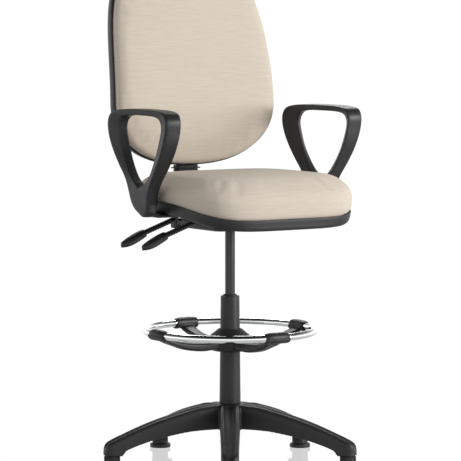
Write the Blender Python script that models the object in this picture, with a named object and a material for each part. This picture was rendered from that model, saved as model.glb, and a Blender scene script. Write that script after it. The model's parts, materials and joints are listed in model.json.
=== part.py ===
"""Draughtsman chair: a swivel chair on a tall gas column with a foot ring, two levers and loop arms.

The chair stands on the XY plane with +Z up, and its seat faces -Y. Every piece is its own object. Pieces of
one moving body are parented to an empty that stands on that body's joint axis.
"""

import math

import bmesh
import bpy
from mathutils import Matrix, Vector

# ---------------------------------------------------------------- driving dimensions, in metres
GAP = 0.0003  # clearance between pieces that touch
POST_X, POST_Y = 0.0056, -0.0276  # the column's axis, from the middle of the chair's footprint

# Five-star base
LEGS = 5
FIRST_LEG_ANGLE = math.radians(237)
GLIDE_CIRCLE = 0.345
LEG_END = 0.0247  # half width of a leg's end, which is also its end radius
HUB_BOTTOM, HUB_TOP = 0.092, 0.166
HUB_RADIUS = 0.040
SOCKET_BOTTOM = 0.033
GLIDE_FLANGE_RADIUS, GLIDE_FLANGE_HEIGHT, GLIDE_CUP_RADIUS = 0.0297, 0.011, 0.0214
STEM_RADIUS = 0.0055

# Gas column
OUTER_TUBE_RADIUS, OUTER_TUBE_WALL = 0.025, 0.0018
OUTER_TUBE_BOTTOM, OUTER_TUBE_TOP = 0.062, 0.466
SLEEVE_TOP, SLEEVE_TOP_RADIUS, SLEEVE_FOOT_RADIUS = 0.470, 0.0264, 0.0299
CYLINDER_RADIUS, CYLINDER_WALL = 0.014, 0.0017
CYLINDER_BOTTOM, CYLINDER_TOP = 0.330, 0.676
ROD_RADIUS = 0.005

# Foot ring
RING_HEIGHT, RING_RADIUS, RING_TUBE = 0.372, 0.2355, 0.011
RING_STEPS = 60
SPIDER_ARMS = 4
HUB_BORE = 0.0302
SPIDER_BOTTOM, SPIDER_TOP, SPIDER_RADIUS = 0.321, 0.350, 0.056
COLLAR_TOP = 0.377

# Seat
SEAT_CENTRE_Y = -0.0716
SEAT_HALF_WIDTH, SEAT_HALF_DEPTH = 0.2535, 0.2410
SEAT_SQUARENESS = 5.0  # superellipse exponent of the outline
RIM_SIDE, RIM_FRONT_DROP = 0.745, 0.041
RIM_DROP_START, RIM_DROP_LENGTH = -0.040, 0.2726
BAND_HEIGHT = 0.033
SHELL_FLOOR, SHELL_WALL = 0.711, 0.003
BOARD_BOTTOM, BOARD_TOP = SHELL_FLOOR + SHELL_WALL + GAP, 0.726
BOARD_INSET = 0.045
SEAT_TOP, SEAT_FRONT_FALL = 0.8145, 0.020
SEAT_FALL_START, SEAT_FALL_LENGTH = -0.160, 0.150

# Mechanism
PLATE_TOP = SHELL_FLOOR - GAP
PLATE_THICKNESS, PLATE_HALF_WIDTH = 0.003, 0.120
PLATE_FRONT, PLATE_REAR = -0.085, 0.145
HOUSING_BOTTOM = 0.657
HOUSING_TOP = PLATE_TOP - PLATE_THICKNESS - GAP
HOUSING_HALF_WIDTH, HOUSING_FRONT, HOUSING_REAR = 0.095, -0.080, 0.148
SEAT_BOLT_X, SEAT_BOLT_YS = 0.108, (-0.050, 0.105)
BOLT_RADIUS, BOLT_HEAD, BOLT_TOP = 0.0036, 0.0045, 0.724

# Levers: both are the same moulding, at two places along the mechanism
LEVER_X, LEVER_Z = -0.060, 0.689
HEIGHT_LEVER_Y, BACK_LEVER_Y = 0.0, 0.112
LEVER_SLOT_HALF, LEVER_SLOT_BOTTOM = 0.010, 0.6765
LEVER_BEND = (-0.034, 0.0)
GRIP_START = (-0.052, -0.0061)
GRIP_SHOULDER = (-0.152, -0.0405)
GRIP_TIP = (-0.2268, -0.0798)
LEVER_ROD_RADIUS = 0.004
TONGUE_LENGTH, TONGUE_BOTTOM, TONGUE_TOP = 0.066, -0.002, 0.003

# Arms, in the plane of the loop: u forward from the foot's middle, z up
ARM_X, ARM_Y = 0.295, -0.022
ARM_TOE_OUT = math.radians(1.5)
ARM_BOLT_X, ARM_BOLT_OFFSETS = 0.190, (-0.020, 0.020)
LUG_BOTTOM = 0.7020

# Back
TILT_Y, TILT_Z = 0.131, 0.668
TILT_PIN_RADIUS, BAR_EYE_RADIUS = 0.005, 0.0115
BAR_Y, BAR_Z = 0.233, 0.676
BAR_HALF_WIDTH, BAR_HALF_THICKNESS = 0.030, 0.004
BAR_BEND_RADIUS, BAR_TOP, BAR_OPENING_HALF = 0.045, 1.010, 0.034
BELLOWS_BOTTOM, BELLOWS_FLANGE, BELLOWS_TOP = 0.726, 0.8160, 0.8255
BELLOWS_HALF_WIDTH, BELLOWS_HALF_DEPTH, BELLOWS_FOLDS = 0.0365, 0.015, 5
BELLOWS_GROOVE, BELLOWS_LIP = 0.0025, 0.0055
BACK_WAIST, BACK_BOTTOM, BACK_TOP = 1.012, 0.828, 1.400
BACK_HALF_WIDTH = 0.2655
BACK_LOWER_POWER, BACK_UPPER_POWER, BACK_TAPER = 2.4, 4.5, 0.31
BACK_FRONT_Y, BACK_SAG, BACK_LUMBAR_Z, BACK_LUMBAR_SPAN = 0.1555, 0.0438, 0.985, 0.150
BRACKET_BOTTOM, BRACKET_TOP = 0.908, 0.984
BRACKET_FOOT_FRONT, BRACKET_TOP_FRONT, BRACKET_REAR, BRACKET_HALF_WIDTH = 0.2190, 0.2140, 0.2400, 0.058
SCREW_RADIUS, SCREW_HEAD_RADIUS, SCREW_LENGTH = 0.0024, 0.0050, 0.0317
SCREW_X, SCREW_HEIGHTS = 0.046, (0.925, 0.967)

# The bodies that move: each one's parent and a point on its joint's axis
BODIES = {
    "base": (None, (0, 0, 0)),
    "foot_ring": ("base", (0, 0, RING_HEIGHT)),
    "ring_collar": ("foot_ring", (0, 0, SPIDER_TOP)),
    "gas_rod": ("base", (0, 0, OUTER_TUBE_BOTTOM)),
    "seat_frame": ("gas_rod", (0, 0, SLEEVE_TOP)),
    "height_lever": ("seat_frame", (LEVER_X, HEIGHT_LEVER_Y, LEVER_Z)),
    "release_button": ("seat_frame", (0, 0, CYLINDER_TOP)),
    "back_lever": ("seat_frame", (LEVER_X, BACK_LEVER_Y, LEVER_Z)),
    "back_tilt": ("seat_frame", (0, TILT_Y, TILT_Z)),
    "back_rest": ("back_tilt", (0, BAR_Y, BRACKET_BOTTOM)),
}

# Colours (linear), roughness and metallic value of each finish
FINISHES = {
    "black_nylon": ((0.040, 0.040, 0.041), 0.45, 0.0),
    "black_gloss": ((0.020, 0.021, 0.021), 0.22, 0.0),
    "black_steel": ((0.030, 0.030, 0.031), 0.38, 0.6),
    "bright_steel": ((0.60, 0.60, 0.61), 0.30, 1.0),
    "chrome": ((0.80, 0.80, 0.81), 0.05, 1.0),
    "plywood": ((0.50, 0.36, 0.21), 0.65, 0.0),
    "rubber": ((0.015, 0.015, 0.015), 0.70, 0.0),
    "fabric": ((0.62, 0.53, 0.42), 0.90, 0.0),
}


# ---------------------------------------------------------------- scene helpers
def clear_scene():
    for obj in list(bpy.data.objects):
        bpy.data.objects.remove(obj, do_unlink=True)


def make_finishes():
    made = {}
    for name, (colour, roughness, metallic) in FINISHES.items():
        material = bpy.data.materials.new(name)
        material.use_nodes = True
        shader = material.node_tree.nodes["Principled BSDF"]
        shader.inputs["Base Color"].default_value = (*colour, 1.0)
        shader.inputs["Roughness"].default_value = roughness
        shader.inputs["Metallic"].default_value = metallic
        made[name] = material
    return made


def make_bodies():
    """One empty for each body, on its joint's axis, with the column's axis at POST_X, POST_Y."""
    empties = {}
    for name, (parent, point) in BODIES.items():
        empty = bpy.data.objects.new("axis_" + name, None)
        empty.empty_display_size = 0.05
        bpy.context.scene.collection.objects.link(empty)
        if parent is None:
            empty.location = (POST_X, POST_Y, 0)
        else:
            empty.parent = empties[parent]
            empty.location = Vector(point) - Vector(BODIES[parent][1])
        empties[name] = empty
    return empties


def mesh_from(points, faces, name):
    mesh = bpy.data.meshes.new(name)
    mesh.from_pydata([tuple(p) for p in points], [], faces)
    work = bmesh.new()
    work.from_mesh(mesh)
    bmesh.ops.recalc_face_normals(work, faces=work.faces)
    work.to_mesh(mesh)
    work.free()
    mesh.shade_smooth()
    mesh.set_sharp_from_angle(angle=math.radians(40))
    return mesh


def place(name, mesh, body, finish, at=(0, 0, 0), turn=0.0):
    """A piece of a body. at is a place from the column's axis on the floor, and turn is about +Z."""
    obj = bpy.data.objects.new(name, mesh)
    bpy.context.scene.collection.objects.link(obj)
    if not obj.data.materials:
        obj.data.materials.append(FINISH[finish])
    obj.parent = EMPTIES[body]
    obj.location = Vector(at) - Vector(BODIES[body][1])
    obj.rotation_euler = (0, 0, turn)
    return obj


def join_to(obj, other, operation):
    """Adds or cuts away other, which becomes a hidden helper."""
    other.hide_render = True
    other.display_type = "WIRE"
    modifier = obj.modifiers.new(other.name, "BOOLEAN")
    modifier.operation = operation
    modifier.object = other
    modifier.solver = "EXACT"


def cut(obj, mesh, body, at=(0, 0, 0), turn=0.0):
    cutter = place(obj.name + "_cut", mesh, body, "black_steel", at, turn)
    join_to(obj, cutter, "DIFFERENCE")


def add(obj, mesh, body, at=(0, 0, 0), turn=0.0):
    extra = place(obj.name + "_add", mesh, body, "black_steel", at, turn)
    join_to(obj, extra, "UNION")


# ---------------------------------------------------------------- shape helpers
def loft(rings, name, closed=False, curved=False):
    """Skins rings of equally many points. An open loft gets a face over each end ring, or where the ends are
    curved a fan round each one's middle."""
    count = len(rings[0])
    points = [p for ring in rings for p in ring]
    faces = []
    for i in range(len(rings) if closed else len(rings) - 1):
        first = i * count
        second = (i + 1) % len(rings) * count
        for j in range(count):
            k = (j + 1) % count
            faces.append((first + j, first + k, second + k, second + j))
    ends = [] if closed else [0, (len(rings) - 1) * count]
    for start in ends:
        if not curved:
            faces.append(tuple(range(start, start + count)))
            continue
        points.append(sum((Vector(p) for p in points[start : start + count]), Vector()) / count)
        faces += [(start + j, start + (j + 1) % count, len(points) - 1) for j in range(count)]
    return mesh_from(points, faces, name)


def circle(radius, z, steps, centre=(0, 0)):
    angles = [2 * math.pi * i / steps for i in range(steps)]
    return [(centre[0] + radius * math.cos(a), centre[1] + radius * math.sin(a), z) for a in angles]


def turned(profile, name, steps=28, closed=False):
    """A turned piece from (radius, z) points. closed joins the last point to the first, as round a bore."""
    return loft([circle(radius, z, steps) for radius, z in profile], name, closed)


def tube(inner, outer, bottom, top, name, steps=28):
    return turned([(inner, bottom), (outer, bottom), (outer, top), (inner, top)], name, steps, closed=True)


def box(x0, x1, y0, y1, z0, z1, name):
    rings = [[(x0, y0, z), (x1, y0, z), (x1, y1, z), (x0, y1, z)] for z in (z0, z1)]
    return loft(rings, name)


def softened(x0, x1, y0, y1, corner, z, steps=3):
    """A rectangle with rounded corners, in the plane at z."""
    ring = []
    left, right, near, far = x0 + corner, x1 - corner, y0 + corner, y1 - corner
    corners = ((right, far), (left, far), (left, near), (right, near))
    for quarter, (cx, cy) in enumerate(corners):
        for i in range(steps + 1):
            angle = math.pi / 2 * (quarter + i / steps)
            ring.append((cx + corner * math.cos(angle), cy + corner * math.sin(angle), z))
    return ring


def lying(mesh, axis):
    """Turns a piece made round Z so that it lies along X or Y."""
    turn = Matrix.Rotation(math.pi / 2, 4, "Y" if axis == "X" else "X")
    mesh.transform(turn)
    return mesh


def signed_power(value, power):
    return math.copysign(abs(value) ** power, value)


def smoothed(points, steps):
    """A closed Catmull-Rom curve through points, with the same number of steps in each stretch."""
    found = []
    count = len(points)
    for i in range(count):
        a, b, c, d = (Vector(points[(i + k - 1) % count]) for k in range(4))
        for j in range(steps):
            t = j / steps
            bend = (2 * a - 5 * b + 4 * c - d) * t**2 + (3 * b - a - 3 * c + d) * t**3
            found.append(0.5 * (2 * b + (c - a) * t + bend))
    return found


# ---------------------------------------------------------------- five-star base
# A leg's stations: distance from the column, underside, top, half width
LEG_STATIONS = (
    (0.026, 0.097, 0.1655, 0.0290),
    (0.090, 0.095, 0.1595, 0.0285),
    (0.123, 0.093, 0.1520, 0.0280),
    (0.175, 0.085, 0.1385, 0.0270),
    (0.228, 0.074, 0.1225, 0.0260),
    (0.279, 0.059, 0.1035, 0.0252),
    (0.3180, 0.044, 0.0875, LEG_END),
    (0.3205, SOCKET_BOTTOM, 0.0865, LEG_END),
    (0.345, SOCKET_BOTTOM, 0.0755, LEG_END),
    (0.358, SOCKET_BOTTOM, 0.0680, 0.0210),
    (0.3655, SOCKET_BOTTOM, 0.0590, 0.0138),
    (0.3695, SOCKET_BOTTOM, 0.0480, 0.0045),
)
LEG_SOLID_FROM = 0.318  # the leg is an open channel underneath, up to its socket


def leg_ring(distance, bottom, top, half):
    """A leg's section: a channel open underneath, with rounded shoulders and a faint dip along its top."""
    rise = top - bottom
    hollow = 0.002 if distance >= LEG_SOLID_FROM else rise - 0.022
    wall = min(0.006, 0.3 * half)
    side = [
        (half, bottom),
        (half, top - 0.30 * rise),
        (0.93 * half, top - 0.13 * rise),
        (0.75 * half, top - 0.03 * rise),
        (0.50 * half, top),
    ]
    channel = [(half - wall, bottom), (half - 1.3 * wall, bottom + hollow)]
    right = list(reversed(channel)) + side
    left = [(-y, z) for y, z in reversed(right)]
    across = right + [(0.0, top - 0.0012)] + left
    return [(distance, y, z) for y, z in across]


def make_base():
    hub = turned(
        [
            (HUB_RADIUS - 0.003, HUB_BOTTOM),
            (HUB_RADIUS, HUB_BOTTOM + 0.006),
            (HUB_RADIUS, HUB_TOP - 0.010),
            (HUB_RADIUS - 0.006, HUB_TOP),
        ],
        "hub",
    )
    star = place("base_star", hub, "base", "black_nylon")
    leg = loft([leg_ring(*station) for station in LEG_STATIONS], "leg")
    bore = turned([(STEM_RADIUS + GAP, SOCKET_BOTTOM - 0.010), (STEM_RADIUS + GAP, 0.062)], "stem_bore", 12)
    angles = [FIRST_LEG_ANGLE + 2 * math.pi * i / LEGS for i in range(LEGS)]
    for angle in angles:
        add(star, leg, "base", turn=angle)
    cut(star, turned([(OUTER_TUBE_RADIUS + GAP, 0.02), (OUTER_TUBE_RADIUS + GAP, 0.30)], "hub_bore"), "base")
    glide = turned(
        [
            (GLIDE_FLANGE_RADIUS - 0.003, 0.0),
            (GLIDE_FLANGE_RADIUS, 0.003),
            (GLIDE_FLANGE_RADIUS, GLIDE_FLANGE_HEIGHT - 0.003),
            (GLIDE_CUP_RADIUS, GLIDE_FLANGE_HEIGHT),
            (GLIDE_CUP_RADIUS, SOCKET_BOTTOM - GAP),
            (STEM_RADIUS + GAP, SOCKET_BOTTOM - GAP),
            (STEM_RADIUS + GAP, 0.014),
        ],
        "glide",
        20,
    )
    stem = turned([(STEM_RADIUS, 0.0145), (STEM_RADIUS, 0.058), (STEM_RADIUS - 0.0015, 0.060)], "stem", 12)
    for number, angle in enumerate(angles, 1):
        spot = (GLIDE_CIRCLE * math.cos(angle), GLIDE_CIRCLE * math.sin(angle), 0)
        cut(star, bore, "base", at=spot)
        place(f"glide_foot_{number}", glide, "base", "black_nylon", at=spot)
        place(f"glide_stem_{number}", stem, "base", "bright_steel", at=spot)


# ---------------------------------------------------------------- gas column
def make_column():
    bore = OUTER_TUBE_RADIUS - OUTER_TUBE_WALL
    floor = OUTER_TUBE_BOTTOM + 0.004
    tube_profile = [
        (ROD_RADIUS + 0.0005, OUTER_TUBE_BOTTOM),
        (OUTER_TUBE_RADIUS - 0.001, OUTER_TUBE_BOTTOM),
        (OUTER_TUBE_RADIUS, OUTER_TUBE_BOTTOM + 0.003),
        (OUTER_TUBE_RADIUS, OUTER_TUBE_TOP),
        (bore, OUTER_TUBE_TOP),
        (bore, floor),
        (ROD_RADIUS + 0.0005, floor),
    ]
    place("gas_outer_tube", turned(tube_profile, "outer_tube", closed=True), "base", "black_steel")

    inside = OUTER_TUBE_RADIUS + GAP
    lip = 0.0195
    sleeve = [
        (inside, HUB_TOP + GAP),
        (SLEEVE_FOOT_RADIUS, HUB_TOP + GAP),
        (SLEEVE_TOP_RADIUS, SLEEVE_TOP - 0.0008),
        (SLEEVE_TOP_RADIUS - 0.0008, SLEEVE_TOP),
        (lip, SLEEVE_TOP),
        (lip, OUTER_TUBE_TOP + 0.0022),
        (inside, OUTER_TUBE_TOP + 0.0022),
    ]
    place("column_sleeve", turned(sleeve, "sleeve", 32, closed=True), "base", "black_nylon")

    bush = [
        (CYLINDER_RADIUS + GAP, 0.384),
        (bore - GAP, 0.384),
        (bore - GAP, OUTER_TUBE_TOP + GAP),
        (bore + 0.0008, OUTER_TUBE_TOP + GAP),
        (bore + 0.0008, OUTER_TUBE_TOP + 0.0019),
        (lip - GAP, OUTER_TUBE_TOP + 0.0019),
        (lip - GAP, SLEEVE_TOP + 0.0025),
        (CYLINDER_RADIUS + 0.002, SLEEVE_TOP + 0.0040),
        (CYLINDER_RADIUS + GAP, SLEEVE_TOP + 0.0040),
    ]
    place("guide_bush", turned(bush, "bush", 20, closed=True), "base", "rubber")
    bearing = tube(ROD_RADIUS + 0.001, 0.014, floor + GAP, floor + 0.008, "bearing", 20)
    place("thrust_bearing", bearing, "base", "bright_steel")
    clip = tube(ROD_RADIUS + GAP, 0.011, 0.0565, OUTER_TUBE_BOTTOM - GAP, "clip", 20)
    place("retaining_clip", clip, "base", "bright_steel")

    shoulder = floor + 0.008 + GAP
    rod = [
        (ROD_RADIUS - 0.001, 0.050),
        (ROD_RADIUS, 0.0515),
        (ROD_RADIUS, shoulder),
        (0.009, shoulder),
        (0.009, shoulder + 0.005),
        (ROD_RADIUS, shoulder + 0.006),
        (ROD_RADIUS, 0.438),
        (CYLINDER_RADIUS - CYLINDER_WALL - GAP, 0.439),
        (CYLINDER_RADIUS - CYLINDER_WALL - GAP, 0.453),
        (0.004, 0.454),
    ]
    place("gas_rod", turned(rod, "rod", 18), "gas_rod", "bright_steel")

    inner = CYLINDER_RADIUS - CYLINDER_WALL
    cylinder = [
        (ROD_RADIUS + 0.0005, CYLINDER_BOTTOM),
        (CYLINDER_RADIUS - 0.001, CYLINDER_BOTTOM),
        (CYLINDER_RADIUS, CYLINDER_BOTTOM + 0.001),
        (CYLINDER_RADIUS, 0.640),
        (CYLINDER_RADIUS - 0.0006, CYLINDER_TOP),
        (0.0036, CYLINDER_TOP),
        (0.0036, CYLINDER_TOP - 0.010),
        (inner, CYLINDER_TOP - 0.012),
        (inner, CYLINDER_BOTTOM + 0.012),
        (ROD_RADIUS + 0.0005, CYLINDER_BOTTOM + 0.010),
    ]
    place("gas_cylinder", turned(cylinder, "cylinder", 20, closed=True), "seat_frame", "black_steel")

    button = [
        (0.0033, CYLINDER_TOP - 0.012),
        (0.0033, CYLINDER_TOP + 0.006),
        (0.0055, CYLINDER_TOP + 0.006),
        (0.0055, CYLINDER_TOP + 0.0082),
        (0.0040, CYLINDER_TOP + 0.0090),
    ]
    place("release_button", turned(button, "button", 14), "release_button", "bright_steel")


# ---------------------------------------------------------------- foot ring
# A spider arm's stations: distance, middle height, half height, half width
SPIDER_STATIONS = (
    (0.040, 0.3345, 0.0130, 0.0260),
    (0.060, 0.3335, 0.0128, 0.0240),
    (0.100, 0.3315, 0.0128, 0.0205),
    (0.154, 0.3375, 0.0112, 0.0190),
    (0.190, 0.3475, 0.0090, 0.0200),
    (0.2120, 0.3550, 0.0085, 0.0220),
    (0.2236, 0.3585, 0.0060, 0.0229),
)
CLAMP_INNER, CLAMP_OUTER = 0.0116, 0.0158
CLAMP_STEPS = 3  # ring steps under each clamp


def ring_arc(section, steps, name, closed=False):
    """Sweeps a (radial, height) section round the foot ring, from the near edge of the clamp at angle 0."""
    rings = []
    for step in range(steps if closed else steps + 1):
        angle = 2 * math.pi * (step - CLAMP_STEPS / 2) / RING_STEPS
        reach = [(RING_RADIUS + out, up) for out, up in section]
        rings.append([(r * math.cos(angle), r * math.sin(angle), RING_HEIGHT + up) for r, up in reach])
    return loft(rings, name, closed)


def half_shell(start, name):
    """A half tube round the ring, from the angle start on: 0 is the upper half, pi the lower."""
    lift = GAP if start == 0 else -GAP
    angles = [start + math.pi * i / 6 for i in range(7)]
    outer = [(CLAMP_OUTER * math.cos(a), CLAMP_OUTER * math.sin(a) + lift / 2) for a in angles]
    inner = [(CLAMP_INNER * math.cos(a), CLAMP_INNER * math.sin(a) + lift / 2) for a in reversed(angles)]
    return ring_arc(outer + inner, CLAMP_STEPS, name)


def spider_ring(distance, middle, half_height, half_width):
    ring = []
    for i in range(10):
        angle = 2 * math.pi * i / 10
        y = half_width * signed_power(math.cos(angle), 0.7)
        z = middle + half_height * signed_power(math.sin(angle), 0.7)
        ring.append((distance, y, z))
    return ring


def make_foot_ring():
    angles = [2 * math.pi * i / 10 for i in range(10)]
    section = [(RING_TUBE * math.cos(a), RING_TUBE * math.sin(a)) for a in angles]
    place("foot_ring_tube", ring_arc(section, RING_STEPS, "ring", closed=True), "foot_ring", "chrome")

    hub = [
        (SPIDER_RADIUS - 0.006, SPIDER_BOTTOM),
        (SPIDER_RADIUS, SPIDER_BOTTOM + 0.008),
        (SPIDER_RADIUS + 0.004, SPIDER_TOP),
    ]
    spider = place("ring_spider", turned(hub, "spider_hub", 32), "foot_ring", "black_nylon")
    arm = loft([spider_ring(*station) for station in SPIDER_STATIONS], "spider_arm")
    saddle = half_shell(math.pi, "saddle")
    cap = half_shell(0, "clamp")
    for number in range(1, SPIDER_ARMS + 1):
        turn = 2 * math.pi * number / SPIDER_ARMS
        add(spider, arm, "foot_ring", turn=turn)
        add(spider, saddle, "foot_ring", turn=turn)
        place(f"ring_clamp_{number}", cap, "foot_ring", "black_nylon", turn=turn)
    cut(spider, turned([(HUB_BORE, 0.30), (HUB_BORE, 0.40)], "spider_bore"), "foot_ring")

    collar = [
        (HUB_BORE, SPIDER_TOP + GAP),
        (SPIDER_RADIUS + 0.004, SPIDER_TOP + GAP),
        (SPIDER_RADIUS + 0.001, SPIDER_TOP + 0.006),
        (0.045, COLLAR_TOP - 0.010),
        (0.036, COLLAR_TOP - 0.003),
        (0.033, COLLAR_TOP),
        (HUB_BORE, COLLAR_TOP),
    ]
    place("ring_collar", turned(collar, "collar", closed=True), "ring_collar", "black_nylon")


# ---------------------------------------------------------------- seat
def seat_ring(inset, height, scale=1.0, steps=36):
    """The seat's outline moved in by inset. height is one number, or a function of the outline's y."""
    half_x, half_y = SEAT_HALF_WIDTH - inset, SEAT_HALF_DEPTH - inset
    ring = []
    for i in range(steps):
        turn = 2 * math.pi * i / steps
        c, s = math.cos(turn), math.sin(turn)
        size = abs(c / half_x) ** SEAT_SQUARENESS + abs(s / half_y) ** SEAT_SQUARENESS
        reach = size ** (-1 / SEAT_SQUARENESS)
        edge_y = SEAT_CENTRE_Y + reach * s
        z = height(edge_y) if callable(height) else height
        ring.append((scale * reach * c, SEAT_CENTRE_Y + scale * reach * s, z))
    return ring


def rim_height(y):
    """The height of the shell's rim, which falls towards the front edge."""
    t = min(max((RIM_DROP_START - y) / RIM_DROP_LENGTH, 0.0), 1.0)
    return RIM_SIDE - RIM_FRONT_DROP * t**1.8


def from_rim(rise):
    return lambda y: rim_height(y) + rise


def under_shell(share, lift=0.0):
    """From the band's lower edge, at share 0, to the flat floor of the shell, at share 1."""
    return lambda y: (1 - share) * (rim_height(y) - BAND_HEIGHT) + share * SHELL_FLOOR + lift


def from_top(rise, share=1.0):
    """The cushion's upper surface, which falls over the front edge by share of SEAT_FRONT_FALL."""

    def height(y):
        t = min(max((SEAT_FALL_START - y) / SEAT_FALL_LENGTH, 0.0), 1.0)
        return SEAT_TOP + rise - share * SEAT_FRONT_FALL * t**2

    return height


def make_shell():
    floor = SHELL_FLOOR + SHELL_WALL
    inside = [
        seat_ring(0.1500, floor),
        seat_ring(0.0560, floor),
        seat_ring(0.0340, under_shell(0.55, SHELL_WALL)),
        seat_ring(0.0120, from_rim(0.0025 - BAND_HEIGHT)),
        seat_ring(0.0055, from_rim(-0.024)),
        seat_ring(0.0036, from_rim(-0.012)),
        seat_ring(0.0030, from_rim(0.0)),
    ]
    outside = [
        seat_ring(0.0000, from_rim(0.0)),
        seat_ring(0.0005, from_rim(-0.014)),
        seat_ring(0.0025, from_rim(-0.026)),
        seat_ring(0.0090, from_rim(-BAND_HEIGHT)),
        seat_ring(0.0300, under_shell(0.55)),
        seat_ring(0.0520, under_shell(1.0)),
        seat_ring(0.1500, SHELL_FLOOR),
    ]
    return place("seat_shell", loft(inside + outside, "seat_shell"), "seat_frame", "black_nylon")


def make_seat_cushion():
    under = BOARD_TOP + GAP
    rings = [
        seat_ring(BOARD_INSET - 0.0005, under),
        seat_ring(0.0280, lambda y: min(under, rim_height(y) + 0.010)),
        seat_ring(0.0085, from_rim(-0.007)),
        seat_ring(0.0046, from_rim(-0.003)),
        seat_ring(0.0034, from_rim(0.0012)),
        seat_ring(-0.0010, from_rim(0.005)),
        seat_ring(-0.0030, from_rim(0.016)),
        seat_ring(-0.0020, from_top(-0.036)),
        seat_ring(0.0045, from_top(-0.019)),
        seat_ring(0.0150, from_top(-0.008)),
        seat_ring(0.0340, from_top(-0.0015, 0.8)),
        seat_ring(0.0650, from_top(0.0020, 0.4)),
        seat_ring(0.0650, SEAT_TOP + 0.0040, scale=0.66),
        seat_ring(0.0650, SEAT_TOP + 0.0050, scale=0.33),
    ]
    place("seat_cushion", loft(rings, "seat_cushion"), "seat_frame", "fabric")


def bolt(head_radius, head_bottom, top, name):
    neck = head_bottom + BOLT_HEAD
    profile = [
        (head_radius - 0.001, head_bottom),
        (head_radius, head_bottom + 0.001),
        (head_radius, neck),
        (BOLT_RADIUS - GAP, neck),
        (BOLT_RADIUS - GAP, top),
    ]
    return turned(profile, name, 12)


def fasten(kind, mesh, spots, holed):
    """Bolts of one kind at the (x, y) spots, each through a hole in every object of holed."""
    hole = turned([(BOLT_RADIUS, 0.69), (BOLT_RADIUS, 0.75)], "bolt_hole", 12)
    for number, (x, y) in enumerate(spots, 1):
        place(f"{kind}_{number}", mesh, "seat_frame", "bright_steel", at=(x, y, 0))
        for obj in holed:
            cut(obj, hole, "seat_frame", at=(x, y, 0))


def make_seat():
    shell = make_shell()
    make_seat_cushion()
    board_mesh = loft([seat_ring(BOARD_INSET, z) for z in (BOARD_BOTTOM, BOARD_TOP)], "seat_board")
    board = place("seat_board", board_mesh, "seat_frame", "plywood")
    outline = (-PLATE_HALF_WIDTH, PLATE_HALF_WIDTH, PLATE_FRONT, PLATE_REAR, 0.012)
    plate_mesh = loft([softened(*outline, z) for z in (PLATE_TOP - PLATE_THICKNESS, PLATE_TOP)], "plate")
    plate = place("seat_plate", plate_mesh, "seat_frame", "black_steel")
    seat_spots = [(side * SEAT_BOLT_X, y) for side in (-1, 1) for y in SEAT_BOLT_YS]
    seat_bolt = bolt(0.0065, PLATE_TOP - PLATE_THICKNESS - GAP - BOLT_HEAD, BOLT_TOP, "seat_bolt")
    fasten("seat_bolt", seat_bolt, seat_spots, (shell, board, plate))
    arm_spots = [(side * ARM_BOLT_X, ARM_Y + offset) for side in (-1, 1) for offset in ARM_BOLT_OFFSETS]
    arm_bolt = bolt(0.0060, LUG_BOTTOM - GAP - BOLT_HEAD, BOLT_TOP, "arm_bolt")
    fasten("arm_bolt", arm_bolt, arm_spots, (shell, board))


# ---------------------------------------------------------------- mechanism
def bar_along_y(radius, half, name, steps=16):
    return lying(turned([(radius, -half), (radius, half)], name, steps), "Y")


def bar_along_x(radius, half, name, steps=16):
    return lying(turned([(radius, -half), (radius, half)], name, steps), "X")


def make_mechanism():
    front, rear, half = HOUSING_FRONT, HOUSING_REAR, HOUSING_HALF_WIDTH
    bottom = HOUSING_BOTTOM
    layers = ((bottom, 0.016), (bottom + 0.004, 0.011), (0.670, 0.002), (0.676, 0.0), (HOUSING_TOP, 0.0))
    rings = [softened(-half + d, half - d, front + d, rear - d, 0.020, z) for z, d in layers]
    housing = place("mechanism_housing", loft(rings, "housing"), "seat_frame", "black_nylon")
    bore = turned([(CYLINDER_RADIUS + GAP, 0.62), (CYLINDER_RADIUS + GAP, CYLINDER_TOP + 0.001)], "socket")
    cut(housing, bore, "seat_frame")
    room = 0.020
    for y, reach in ((HEIGHT_LEVER_Y, TONGUE_LENGTH + 0.010), (BACK_LEVER_Y, 0.012)):
        slot = box(
            -half - room,
            LEVER_X + reach,
            y - LEVER_SLOT_HALF,
            y + LEVER_SLOT_HALF,
            LEVER_SLOT_BOTTOM,
            HOUSING_TOP + room,
            "lever_slot",
        )
        cut(housing, slot, "seat_frame")
        cut(housing, bar_along_y(0.0033, 0.0175, "pin_hole"), "seat_frame", at=(LEVER_X, y, LEVER_Z))
    bar_room = BAR_HALF_WIDTH + 0.003
    rear_slot = box(-bar_room, bar_room, TILT_Y - 0.018, rear + room, bottom - room, 0.690, "bar_slot")
    cut(housing, rear_slot, "seat_frame")
    cut(housing, bar_along_x(TILT_PIN_RADIUS + GAP, 0.120, "tilt_hole"), "seat_frame", at=(0, TILT_Y, TILT_Z))
    tilt_pin = bar_along_x(TILT_PIN_RADIUS, 0.0945, "tilt_pin")
    place("tilt_pin", tilt_pin, "seat_frame", "bright_steel", at=(0, TILT_Y, TILT_Z))
    lever_pin = bar_along_y(0.0030, 0.0170, "lever_pin")
    for number, y in enumerate((HEIGHT_LEVER_Y, BACK_LEVER_Y), 1):
        place(f"lever_pin_{number}", lever_pin, "seat_frame", "bright_steel", at=(LEVER_X, y, LEVER_Z))


# ---------------------------------------------------------------- levers
def lever_ring(at, direction, half_y, half_up, steps=10):
    """A ring round a lever's path at (x, z), square to the direction, with its flat side up."""
    along = Vector((direction[0], direction[1])).normalized()
    up = Vector((-along.y, along.x))
    if up.y < 0:
        up = -up
    ring = []
    for i in range(steps):
        angle = 2 * math.pi * i / steps
        rise = half_up * math.sin(angle)
        ring.append((at[0] + up.x * rise, half_y * math.cos(angle), at[1] + up.y * rise))
    return ring


def between(a, b, share):
    return a[0] + (b[0] - a[0]) * share, a[1] + (b[1] - a[1]) * share


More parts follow.
